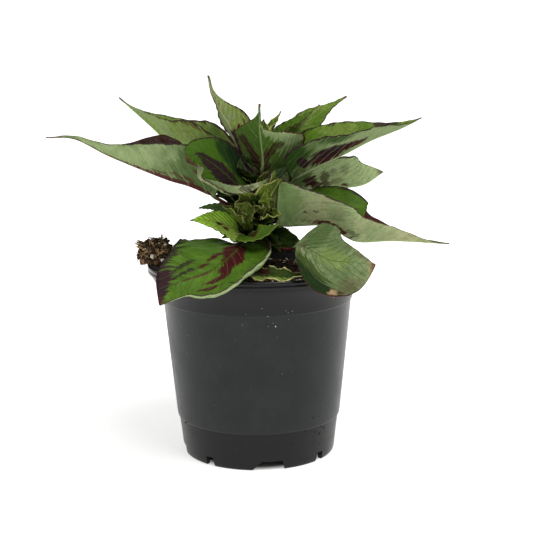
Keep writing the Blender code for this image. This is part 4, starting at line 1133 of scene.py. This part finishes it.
        wave=(1.4, 3.5, 0.0),
        rib=((-5, -22, 141), (-4, -42, 139), (1, -56, 139), (10, -64, 139.5), (22, -68, 139.5),
             (34, -68, 140.5)),
        upper=dict(
            greens=(WINE, OLIVE, DEEP), vein=MOSS, edge=STRAW, edge_width=0.12,
            marks=((0.45, -0.7, 0.3, 0.3, 0.6, YELLOW_GREEN, 0.8), (0.3, 0.2, 0.15, 0.5, 0.5, WINE, 0.8))),
        under=dict(greens=(MOSS, GREY_GREEN, MOSS), edge=STRAW, edge_width=0.16)),
    "leaf_back_left": dict(
        root=(164, 130), stalk=0.2, half=(20, 20), lift=((30, 30), (15, 15)), shape=(0.3, 1.2, 2.0),
        wave=(1.2, 2.5, 0.0),
        rib=((-22, 24, 182), (-42, 42, 198), (-58, 58, 203), (-72, 70, 198))),
    "leaf_back_middle": dict(
        root=(172, 80), stalk=0.18, half=(23, 22), lift=((35, 35), (20, 20)), shape=(0.3, 1.2, 2.0),
        wave=(1.3, 2.5, 1.0),
        rib=((4, 26, 190), (8, 48, 198), (10, 72, 194), (10, 92, 182))),
    "leaf_back_right": dict(
        root=(160, 55), stalk=0.2, half=(21, 20), lift=((30, 30), (15, 15)), shape=(0.3, 1.2, 2.0),
        wave=(1.2, 2.5, 2.0),
        rib=((18, 26, 172), (36, 44, 178), (56, 58, 176), (74, 70, 166))),
    "leaf_back_low": dict(
        root=(146, 95), stalk=0.22, half=(20, 20), lift=((25, 25), (10, 10)), shape=(0.35, 1.2, 1.8),
        wave=(1.4, 2.5, 0.5),
        rib=((-10, 32, 156), (-14, 56, 158), (-16, 82, 150), (-17, 98, 138))),
    "leaf_back_upper": dict(
        root=(193, 95), stalk=0.16, half=(14, 14), lift=((45, 45), (25, 25)), shape=(0.3, 1.2, 2.0),
        wave=(0.9, 2.0, 0.0),
        rib=((2, 20, 210), (3, 34, 220), (4, 50, 224), (4, 66, 220))),
}
PLAIN_UPPER = dict(greens=(FRESH, BRIGHT, FRESH), vein=GREEN_VEIN, edge_width=0.05,
                   marks=((0.25, 0.0, 0.2, 0.26, 0.8, WINE, 0.95), (0.46, 0.05, 0.14, 0.08, 0.7, WINE, 0.9)))
PLAIN_UNDER = dict(greens=(MOSS, PALE, GREY_GREEN), edge_width=0.03,
                   marks=((0.22, 0.0, 0.2, 0.2, 0.8, BURGUNDY, 0.8),))


def stem_side(height, turn):
    """The place beside the stem where a stalk starts, at a height and a compass angle from +X."""
    line = np.array(STEM_LINE, dtype=float)
    x, y = (np.interp(height, line[:, 2], line[:, axis]) for axis in range(2))
    share = (height - line[0, 2]) / (line[-1, 2] - line[0, 2])
    radius = STEM_FOOT_RADIUS + (STEM_TOP_RADIUS - STEM_FOOT_RADIUS) * share + STALK_SINK
    angle = math.radians(turn)
    return (x + radius * math.cos(angle), y + radius * math.sin(angle), height)


def rib_frames(rib, face, samples):
    """Midrib points with the upper side and the left side at each, and the midrib's length."""
    fine_steps = np.linspace(0.0, 1.0, RIB_SAMPLES)
    dense, length = smooth_line(rib, fine_steps)
    slope = np.gradient(dense, axis=0)
    evenly = np.ones(RIB_SMOOTHING) / RIB_SMOOTHING
    for axis in range(3):
        longer = np.pad(slope[:, axis], RIB_SMOOTHING // 2, mode="edge")
        slope[:, axis] = np.convolve(longer, evenly, mode="valid")
    place = np.stack([np.interp(samples, fine_steps, dense[:, axis]) for axis in range(3)], axis=1)
    along = np.stack([np.interp(samples, fine_steps, slope[:, axis]) for axis in range(3)], axis=1)
    along /= np.linalg.norm(along, axis=1)[:, None]
    samples = samples[:, None]
    upper = np.array(face[0], dtype=float) * (1 - samples) + np.array(face[1], dtype=float) * samples
    upper -= along * np.sum(along * upper, axis=1)[:, None]
    upper /= np.linalg.norm(upper, axis=1)[:, None]
    return place[:, None], upper[:, None], np.cross(upper, along)[:, None], length


def width_share(along, widest, base, tip):
    """Width of a half at each place along the blade, as a share of its widest."""
    inward = np.clip(1 - along / widest, 0.0, 1.0)
    rising = np.clip(1 - inward * inward, 0.0, 1.0) ** (0.5 * base)
    fall = np.clip((along - widest) / (1 - widest), 0.0, 1.0)
    falling = (1 - fall) ** tip * (1 + tip * fall)
    return np.where(along <= 0, 0.0, np.where(along < widest, rising, falling))


def half_points(reach, angle, arched):
    """Sideways and upward offsets over a bent half, for a half width of 1, and its turn there."""
    sideways = upward = 0.0
    for index in range(BEND_STEPS):
        bent = np.radians(angle + arched * (reach * (index + 0.5) / BEND_STEPS) ** 3)
        sideways = sideways + np.cos(bent) * reach / BEND_STEPS
        upward = upward + np.sin(bent) * reach / BEND_STEPS
    return sideways, upward, np.radians(angle + arched * reach ** 3)


def leaf_points(rows, reach, veins, relief, slim_base, stalk, half, lift, shape, wave, rib,
                face=((0, 0, 1), (0, 0, 1)), arch=(0, 0)):
    """Points of a leaf, row by row from its root and column by column from its left edge to its right one.

    With each point come its place on the blade (along, across, sideways share) and its thickness weight.
    """
    place, upper, left, length = rib_frames(rib, face, rows)
    blade_length = length * (1 - stalk)
    along = ((rows - stalk) / (1 - stalk))[:, None]
    inside = np.clip(along, 0.0, 1.0)
    middle = np.sin(math.pi * inside)
    opened = ease(along / OPENING)
    closed = 1 - opened
    slim = slim_base + (TIP_HALF_WIDTH - slim_base) * inside
    slimmer = 1 - RIDGE_NARROWING * inside
    thinner = slim_base / STALK_HALF_WIDTH
    rounded = np.sqrt(np.clip(1 - 0.97 * reach ** 2, 0.0, 1.0))
    stalk_side = (reach * STALK_RADIUS * thinner)[:, None]
    stalk_top = ((STALK_RADIUS * rounded - STALK_HOLLOW) * thinner)[:, None]
    halves = []
    for side, way in enumerate((left, -left)):
        outline = shape[side] if isinstance(shape[0], tuple) else shape
        full = slim + (half[side] - slim) * width_share(along, *outline)
        raised = np.interp(rows, np.linspace(0, 1, len(lift[side])), lift[side])[:, None]
        sideways, upward, turn = half_points(reach, STALK_LIFT + (raised - STALK_LIFT) * opened,
                                             arch[side] * opened)
        lateral = reach * full / blade_length
        phase = veins * (inside - VEIN_SLANT * lateral - VEIN_ARCH * lateral ** 2)
        phase = phase + (-VEIN_OFFSET if side else VEIN_OFFSET)
        quilted = relief * -np.cos(2 * math.pi * phase) * 0.5
        quilted = quilted * ease(reach / QUILT_FROM) * (1 - reach ** 5) * middle ** 0.4
        folded = np.exp(-(lateral * blade_length / FOLD_WIDTH) ** 2)
        folded = FOLD_DEPTH * folded * slimmer * opened
        height, count, start = wave
        ripple = height * np.sin(2 * math.pi * (count * along + start * 0.16 + 0.37 * side))
        ripple = ripple * np.where((along > 0) & (along < 1), np.sqrt(np.abs(middle)), 0.0)
        frilled = 0.5 * np.sin(2 * math.pi * (veins * inside + 0.3 * side)) * middle
        rise = (ripple * reach ** 2 + frilled * reach ** 6 + quilted - folded)[..., None]
        spot = place + way * (sideways * full)[..., None] + upper * (upward * full)[..., None]
        spot = spot + (upper * np.cos(turn)[..., None] - way * np.sin(turn)[..., None]) * rise
        stalk_spot = place + way * stalk_side + upper * stalk_top
        spot = spot * opened[..., None] + stalk_spot * closed[..., None]
        ridge = 1 - (lateral * blade_length / (RIDGE_WIDTH * slimmer)) ** 2
        ridge = np.sqrt(np.clip(ridge, 0.0, 1.0)) * RIDGE_HEIGHT * (1 - RIDGE_SINKING * inside)
        halves.append((spot, lateral, np.maximum(ridge * opened, rounded * closed)))
    spots, lateral, weight = (np.concatenate([one[:, ::-1], other[:, 1:]], axis=1)
                              for one, other in zip(*halves))
    across = np.concatenate([reach[::-1], -reach[1:]])
    return spots, np.stack(np.broadcast_arrays(along, across, lateral), axis=-1), weight


def leaf_piece(name, figures, finishes, blade_rows, stalk_rows, half_columns, veins, relief, slim_base):
    """A leaf modelled from a grid, thickened below, with its place on the blade kept for the material."""
    stalk = figures["stalk"]
    rows = np.concatenate([np.linspace(0.0, stalk, stalk_rows, endpoint=False),
                           np.linspace(stalk, 1.0, blade_rows + 1)])
    reach = (np.arange(half_columns + 1) / half_columns) ** COLUMN_CROWDING
    spots, onto, weight = leaf_points(rows, reach, veins, relief, slim_base, **figures)
    across_count = 2 * half_columns
    clear_choice()
    bpy.ops.mesh.primitive_grid_add(x_subdivisions=across_count, y_subdivisions=len(rows) - 1, size=2.0)
    leaf = bpy.context.object
    leaf.name = name
    mesh = leaf.data
    flat = np.zeros(len(mesh.vertices) * 3)
    mesh.vertices.foreach_get("co", flat)
    flat = flat.reshape(-1, 3)
    column = np.rint((flat[:, 0] + 1) / 2 * across_count).astype(int)
    row = np.rint((flat[:, 1] + 1) / 2 * (len(rows) - 1)).astype(int)
    mesh.vertices.foreach_set("co", (spots[row, column] * MM).ravel())
    spread = mesh.attributes.new("leaf_place", "FLOAT_VECTOR", "POINT")
    spread.data.foreach_set("vector", onto[row, column].astype(np.float32).ravel())
    thick = leaf.vertex_groups.new(name="thickness")
    for index, value in enumerate(weight[row, column]):
        thick.add([index], float(value), "REPLACE")
    shell = leaf.modifiers.new("thickness", "SOLIDIFY")
    shell.thickness = STALK_THICKNESS * slim_base / STALK_HALF_WIDTH * MM
    shell.offset = -1.0
    shell.vertex_group = "thickness"
    shell.thickness_vertex_group = BLADE_THICKNESS / STALK_THICKNESS
    shell.material_offset = 1
    shell.material_offset_rim = 1
    for finish in finishes:
        mesh.materials.append(finish)
    take_up(leaf)
    bpy.ops.object.modifier_apply(modifier="thickness")
    bpy.ops.object.shade_smooth()
    return leaf


def combined(x, y, z):
    """Three amounts as one place."""
    return shade("CombineXYZ", "Vector", {"X": x, "Y": y, "Z": z})


def vein_recipe(along, across, lateral, count, slant, seed):
    """The side veins, the midrib and the fine net between them, and the places that streaks run out along."""
    reach = abs(across)
    side = sums("SIGN", across)
    from_rib = lateral * side
    along_vein = along - lateral * (lateral * VEIN_ARCH + slant)
    blade_place = combined(along, from_rib, seed)
    sway = speckle(blade_place, 9.0) - 0.5
    phase = along_vein * count + side * VEIN_OFFSET + sway * 0.7
    gap = abs(sums("FRACT", phase + 100.5) - 0.5)
    width = reach * -0.045 + 0.075
    vein = soft_step(gap, width, width * 0.2) * soft_step(reach, 0.97, 0.4) * soft_step(along, 0.0, 0.03)
    rib_width = (1.25 - along) * 0.009
    rib = soft_step(lateral, rib_width, rib_width * 0.3)
    cells = {"Vector": blade_place, "Scale": 48.0}
    net = soft_step(shade("TexVoronoi", "Distance", cells, feature="DISTANCE_TO_EDGE"), 0.10, 0.0)
    return vein, rib, net, gap, along_vein * 46.0, from_rib * 8.0


def mark_recipe(streak, along, across, centre_along, centre_across, length, width, ragged):
    """A dark mark on the blade, an oval whose edge runs out in streaks along the side veins."""
    off_along = (along - centre_along) / length
    off_across = (across - centre_across) / width
    oval = sums("SQRT", off_along * off_along + off_across * off_across)
    feathers = (speckle(streak, 1.0) - 0.5) * MARK_FEATHERS
    crumbled = (speckle(streak, 3.6, 4.0, 0.7) - 0.5) * MARK_CRUMBLE
    return (soft_step(oval + (feathers + crumbled) * ragged, 1.06, 0.84),)


leaf_veins = make_effect("leaf_veins", (), ("along", "across", "lateral", "count", "slant", "seed"),
                         ("vein", "rib", "net", "quilt", "streak_along", "streak_across"), vein_recipe)
leaf_mark = make_effect("leaf_mark", ("streak",),
                        ("along", "across", "centre_along", "centre_across", "length", "width", "ragged"),
                        ("mark",), mark_recipe)


def leaf_finish(name, greens, edge_width, vein=PALE_VEIN, edge=PURPLE, marks=(), rib=None, glossy=True,
                count=VEIN_COUNT, slant=VEIN_SLANT, seed=0.0, vein_show=0.30, stalk_colour=BURGUNDY,
                stalk_run=0.0):
    """One face of a leaf: greens from base to tip with mottling, marks, veins and a coloured edge."""
    finish, shader, where = new_finish(name, **(UPPER_SATIN if glossy else UNDER_DULL))
    kept = shader.id_data.nodes.new("ShaderNodeAttribute")
    kept.attribute_name = "leaf_place"
    leaf_place = Amount(kept.outputs["Vector"])
    along, across, lateral = (shade("SeparateXYZ", axis, {0: leaf_place}) for axis in "XYZ")
    veined = use_effect(leaf_veins, along=along, across=across, lateral=lateral, count=count, slant=slant,
                        seed=seed)
    streak = combined(veined["streak_along"], veined["streak_across"], seed)
    soft_patches = speckle(where, 60.0, 4.0, 0.6)
    fine_patches = speckle(where, 480.0, 4.0, 0.65)
    brushed = speckle(streak, 0.5, 3.0, 0.6)
    creased = speckle(where, 170.0, 3.0, 0.55)
    layers = [(soft_step(soft_patches, 0.42, 0.62) * LAYER_SHARES["mottled"], greens[2]),
              (soft_step(brushed, 0.45, 0.75) * LAYER_SHARES["brushed"], vein),
              (soft_step(fine_patches, 0.54, 0.32) * LAYER_SHARES["shaded"], DEEP),
              (soft_step(creased, 0.54, 0.70) * LAYER_SHARES["creased"], vein),
              # Olive along the side veins: painted shade for the vein grooves of the puckered upper face,
              # laid on the underside as well.
              (soft_step(veined["quilt"], 0.22, 0.05) * LAYER_SHARES["quilted"], OLIVE),
              (veined["net"] * LAYER_SHARES["netted"], vein)]
    for centre_along, centre_across, length, width, ragged, tint, strength in marks:
        marked = use_effect(leaf_mark, streak=streak, along=along, across=across, centre_along=centre_along,
                            centre_across=centre_across, length=length, width=width, ragged=ragged)
        layers.append((marked["mark"] * strength, tint))
    layers.append((veined["vein"] * vein_show, vein))
    frayed = abs(across) + (speckle(streak, 0.6, 4.0, 0.65) - 0.5) * (edge_width * 4.5)
    edged = soft_step(frayed, 1.0 - edge_width * 1.3, 1.0 - edge_width * 0.5) * soft_step(along, 0.0, 0.06)
    layers.append((edged * LAYER_SHARES["edged"], edge))
    layers.append((veined["rib"] * LAYER_SHARES["ribbed"], rib or vein))
    if stalk_run:
        low_rib = soft_step(along, stalk_run, stalk_run - 0.08) * soft_step(lateral, 0.05, 0.035)
        layers.append((low_rib, stalk_colour))
    layers.append((soft_step(along, 0.93, 0.99) * LAYER_SHARES["tipped"], BURGUNDY))
    layers.append((soft_step(along, 0.03, -0.04), stalk_colour))
    colour = mixed(soft_step(along, 0.02, 0.4), greens[0], greens[1])
    for share, tint in layers:
        colour = mixed(share, colour, tint)
    feed(shader.inputs["Base Color"], colour)
    veins_up = -1.0 if glossy else 1.0
    raised = veined["vein"] * veins_up + veined["net"] * (0.35 * veins_up)
    quilted = veined["quilt"] * veined["quilt"] * 5.0
    give_bump(shader, raised + quilted + (fine_patches * 0.5 + creased * 2.2), 0.8, 0.4 * MM)
    return finish


for number, (node, values) in enumerate(LEAVES.items(), 1):
    figures = {key: value for key, value in values.items() if key not in ("root", "upper", "under")}
    figures["rib"] = (stem_side(*values["root"]), *values["rib"])
    seed = 1.7 * number
    finishes = (leaf_finish(node + "_upper", seed=seed, **values.get("upper", PLAIN_UPPER)),
                leaf_finish(node + "_under", glossy=False, seed=seed, **values.get("under", PLAIN_UNDER)))
    leaf = leaf_piece(node.removeprefix("leaf_") + "_blade", figures, finishes, **LARGE_LEAF)
    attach(leaf, "root")
    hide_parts(node)
    node + "_green"


# The leafy shoots: short young shoots that grow out beside the stem, each with a few small crinkled leaves,
# yellow-green with pale edges, fused to their own little stalk.
SHOOT_LEAF = dict(blade_rows=30, stalk_rows=5, half_columns=8, veins=8.0, relief=0.45, slim_base=0.8)
SHOOT_LEAF_FORM = dict(stalk=0.12, lift=((30, 30), (25, 25)), arch=(15, 15), shape=(0.45, 1.3, 1.5))
SHOOT_STALK_PLACE = (0.1, 0.5, 0.05)
YOUNG = screen_colour(108, 138, 36)
YOUNG_DEEP = screen_colour(30, 54, 6)
YOUNG_EDGE = screen_colour(196, 196, 122)
YOUNG_LOOK = dict(vein=YOUNG_EDGE, edge=YOUNG_EDGE, edge_width=0.12, count=SHOOT_LEAF["veins"],
                  stalk_colour=YOUNG)
YOUNG_MARKS = ((0.15, 0.1, 0.2, 0.4, 0.9, WINE, 0.6),)

# A leaf of a shoot is (share of the stalk at which it leaves, tip, half width, way its upper side looks).
SHOOTS = {
    "shoot_middle": dict(
        root=(163, 305), line=((6, -10, 169), (10, -13, 178)), radii=(1.6, 1.1),
        leaves=((0.35, (17, -25, 173), 7, (-0.3, -0.2, 1)), (0.3, (17, -28, 199), 10, (-0.4, 1, 0.5)),
                (0.85, (7, -23, 190), 6, (-0.5, 1, 0.3)), (1.0, (13, -16, 203), 6, (-1, 0.3, 0.2)))),
    "shoot_left": dict(
        root=(157, 230), line=((-7, -8, 162), (-8, -12, 168)), radii=(1.5, 1.0),
        leaves=((0.5, (-24, -20, 180), 7, (0, -0.4, 1)), (0.8, (-13, -22, 182), 7, (0.3, 1, 0.2)),
                (0.9, (-10, -13, 191), 8, (0.3, -1, 0.3)), (1.0, (-5, -20, 182), 6, (0.6, 0.8, 0.2)))),
    "shoot_right": dict(
        root=(150, 355), line=((7, 1, 154), (10, 0, 160)), radii=(1.5, 1.0),
        leaves=((0.5, (23, 10, 158), 7, (0, -0.3, 1)), (0.9, (17, -12, 152), 6, (-0.3, 0.2, 1)),
                (1.0, (12, 8, 178), 6, (-0.6, -0.3, 0.3)))),
    "shoot_crown": dict(
        root=None, line=((1, 1, 202.0), (3, 1, 209), (5, 1, 213)), radii=(1.8, 1.1),
        leaves=((0.3, (18, 6, 242), 7, (-0.7, -0.3, 0.2)), (0.7, (6, 10, 236), 8, (0, -1, 0.2)),
                (1.0, (8, -8, 232), 5, (0, 1, 0.2)))),
}


def joined_leaves(parts):
    """The leaves joined into the first part."""
    take_up_all(parts)
    bpy.ops.object.join()
    return parts[0]


def shoot_piece(name, root, line, radii, leaves, finishes):
    """A little stalk with its leaves, joined into one piece."""
    if root:
        line = (stem_side(*root), *line)
    shares = np.linspace(0.0, 1.0, 5)
    path, _ = smooth_line(line, shares)
    thick = [radii[0] + (radii[1] - radii[0]) * share for share in shares]
    stalk = joined(name, [fibre([tuple(point) for point in path], thick, name + "_stalk", 4)])
    for finish in finishes:
        stalk.data.materials.append(finish)
    spread = stalk.data.attributes.new("leaf_place", "FLOAT_VECTOR", "POINT")
    places = np.tile(SHOOT_STALK_PLACE, len(stalk.data.vertices))
    spread.data.foreach_set("vector", places.astype(np.float32))
    parts = [stalk]
    for index, (share, tip, half, face) in enumerate(leaves):
        start = np.array([np.interp(share, shares, path[:, axis]) for axis in range(3)])
        end = np.array(tip, dtype=float)
        bow = np.array((0, 0, 0.08 if index % 2 else 0.03)) * np.linalg.norm(end - start)
        figures = dict(rib=(start, (start + end) / 2 + bow, end), face=(face, face), half=(half, half),
                       wave=(1.5, 3.0, 0.4 * index), **SHOOT_LEAF_FORM)
        parts.append(leaf_piece("%s_leaf_%d" % (name, index), figures, finishes, **SHOOT_LEAF))
    return joined_leaves(parts)


young_upper = leaf_finish("young_leaf_upper", (YOUNG, YOUNG, YOUNG_DEEP), marks=YOUNG_MARKS, seed=3.0,
                          **YOUNG_LOOK)
young_under = leaf_finish("young_leaf_under", (YOUNG_DEEP, YOUNG, YOUNG_DEEP), glossy=False, seed=5.0,
                          **YOUNG_LOOK)
for node, values in SHOOTS.items():
    name = node.replace("shoot_", "young_") + "_shoot"
    shoot = shoot_piece(name, finishes=(young_upper, young_under), **values)
    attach(shoot, "root")
    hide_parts(node)
    node + "_green"


# The innermost leaves: small crinkled leaves crowd round the stem between the stalks. Those the large ones
# cover are painted dark as shade, and the rest are yellow-green with pale edges. Each grows from the stem.
INNER_LEAF = dict(blade_rows=18, stalk_rows=2, half_columns=5, veins=7.0, relief=0.4, slim_base=0.7)
INNER_LEAF_FORM = dict(stalk=0.12, arch=(30, 20), shape=(0.5, 1.1, 1.3))
BARE_WINDOW = {"right_of": 6.0, "above": 149.0, "below": 165.0}
SIDEWAYS_FACING = -0.6
VIEWER_FACING = (0.0, -1.2, 0.0)
SHADE_LEAF = screen_colour(14, 30, 6)
SHADE_LEAF_LIGHT = screen_colour(40, 60, 15)
SHADE_VEIN = screen_colour(66, 82, 30)
SHADE_LOOK = dict(vein=SHADE_VEIN, edge=SHADE_VEIN, edge_width=0.05, count=INNER_LEAF["veins"],
                  stalk_colour=SHADE_VEIN)
SHADE_MARKS = ((0.25, 0.0, 0.2, 0.4, 0.8, BROWN_PURPLE, 0.8),)

# The leaves in front have a set place, as (height and compass angle at the stem, tip, half width), and the
# rest fall where they may within the other figures.
INNER_LEAVES = {
    "inner_dark_leaves": dict(
        number=44, heights=(152, 206), turns=(0, 360), reach=(8, 17), half=(4.5, 7.5),
        placed=((172, 210, (-31, -17, 190), 9), (186, 205, (-17, -10, 204), 7), (160, 325, (16, -11, 171), 7),
                (158, 300, (12, -26, 170), 7), (148, 300, (14, -32, 154), 7), (147, 320, (23, -30, 151), 7),
                (147, 335, (31, -27, 153.6), 8), (175, 290, (3, -24, 186), 7),
                (152, 310, (15, -22, 170), 7.5), (178, 225, (-14, -14, 198), 8),
                (170, 207, (-28, -10, 185), 10), (159, 345, (23, 1, 167), 9), (146, 300, (16, -36, 150), 7.5),
                (145, 318, (28, -34, 149), 7))),
    "inner_fresh_leaves": dict(
        number=26, heights=(150, 196), turns=(200, 350), reach=(9, 17), half=(3.0, 5.5),
        placed=((150, 235, (-24, -20, 157), 4.5), (152, 240, (-11, -22, 176), 4.5),
                (168, 300, (12, -24, 184), 4), (182, 320, (16, -10, 197), 4), (176, 250, (-6, -24, 190), 4),
                (170, 280, (4, -26, 178), 4), (185, 285, (8, -18, 203), 3.5))),
}


def stray_leaf(heights, turns, reach, half):
    """The start, the end, the half width and the facing of a leaf that falls where it may."""
    height = draw.uniform(*heights)
    turn = draw.uniform(*turns)
    length = draw.uniform(*reach)
    way = np.array((math.cos(math.radians(turn)), math.sin(math.radians(turn)), draw.uniform(0.2, 0.9)))
    start = np.array(stem_side(height, turn))
    return start, start + way * length, draw.uniform(*half), way * SIDEWAYS_FACING, length


def placed_leaf(height, turn, tip, half):
    """The same for a leaf with a set place, which also looks towards the viewer."""
    start = np.array(stem_side(height, turn))
    end = np.array(tip, dtype=float)
    length = np.linalg.norm(end - start)
    return start, end, half, (end - start) / length * SIDEWAYS_FACING + VIEWER_FACING, length


def in_bare_window(end):
    """Whether a leaf would end in the gap right of the stem through which the ground behind is seen."""
    return end[0] > BARE_WINDOW["right_of"] and BARE_WINDOW["above"] < end[2] < BARE_WINDOW["below"]


def inner_leaves(name, number, placed, finishes, **ranges):
    """One piece of many small leaves: the placed ones first, then strays until the number is full."""
    parts = []
    while len(parts) < number:
        if len(parts) < len(placed):
            start, end, half, facing, length = placed_leaf(*placed[len(parts)])
        else:
            start, end, half, facing, length = stray_leaf(**ranges)
            if in_bare_window(end):
                continue
        face = (facing[0] + draw.uniform(-0.5, 0.5), facing[1] + draw.uniform(-0.5, 0.5), 1.0)
        fold = draw.uniform(5, 45)
        bow = (0.0, 0.0, length * draw.uniform(0.0, 0.16))
        figures = dict(rib=(start, (start + end) / 2 + bow, end), face=(face, face), half=(half, half),
                       lift=((fold, fold), (fold, fold)),
                       wave=(draw.uniform(0.7, 1.6), 3.0, draw.uniform(0, 5)), **INNER_LEAF_FORM)
        parts.append(leaf_piece("%s_%d" % (name, len(parts)), figures, finishes, **INNER_LEAF))
    whole = joined_leaves(parts)
    whole.name = name
    return whole


shaded_upper = leaf_finish("inner_dark_upper", (SHADE_LEAF, SHADE_LEAF, SHADE_LEAF_LIGHT), marks=SHADE_MARKS,
                           seed=31.0, **SHADE_LOOK)
shaded_under = leaf_finish("inner_dark_under", (SHADE_LEAF, SHADE_LEAF_LIGHT, SHADE_LEAF), glossy=False,
                           seed=33.0, **SHADE_LOOK)
inner_finishes = {"inner_dark_leaves": (shaded_upper, shaded_under),
                  "inner_fresh_leaves": (young_upper, young_under)}
for name, values in INNER_LEAVES.items():
    whole = inner_leaves(name, finishes=inner_finishes[name], **values)
    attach(whole, "root")


# The curled margin: the near margin of the front left leaf turns over towards the viewer and shows its pale
# underside as a narrow strip with a dark upper line.
CURL = dict(blade_rows=40, stalk_rows=2, half_columns=6, veins=14.0, relief=0.15, slim_base=0.5)
CURL_FORM = dict(
    stalk=0.02, face=((0, -1, 0.35), (0.2, -1, 0.35)), half=(2.8, 3.4), lift=((-12, -12), (-12, -12)),
    arch=(-30, -30), shape=(0.5, 0.9, 1.1), wave=(0.3, 2.0, 0.0),
    rib=((-34, -46, 201), (-27, -43, 197.5), (-17, -39, 194), (-7, -35, 193), (2, -30, 195.5),
         (9, -26, 198.5)))
CURL_MARKS = ((0.62, 0.0, 0.12, 0.7, 0.9, BROWN_PURPLE, 0.8), (0.92, 0.0, 0.1, 0.9, 0.4, MOSS, 0.7))

curl_upper = leaf_finish("curl_upper", (PALE, STONE_GREEN, GREY_GREEN), 0.12, marks=CURL_MARKS, glossy=False,
                         count=CURL["veins"], seed=41.0, rib=PALE, stalk_colour=PALE)
curl_finishes = (curl_upper, bpy.data.materials["leaf_front_left_upper"])
curl = leaf_piece("front_left_curl", CURL_FORM, curl_finishes, **CURL)
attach(curl, "root")


clear_choice()
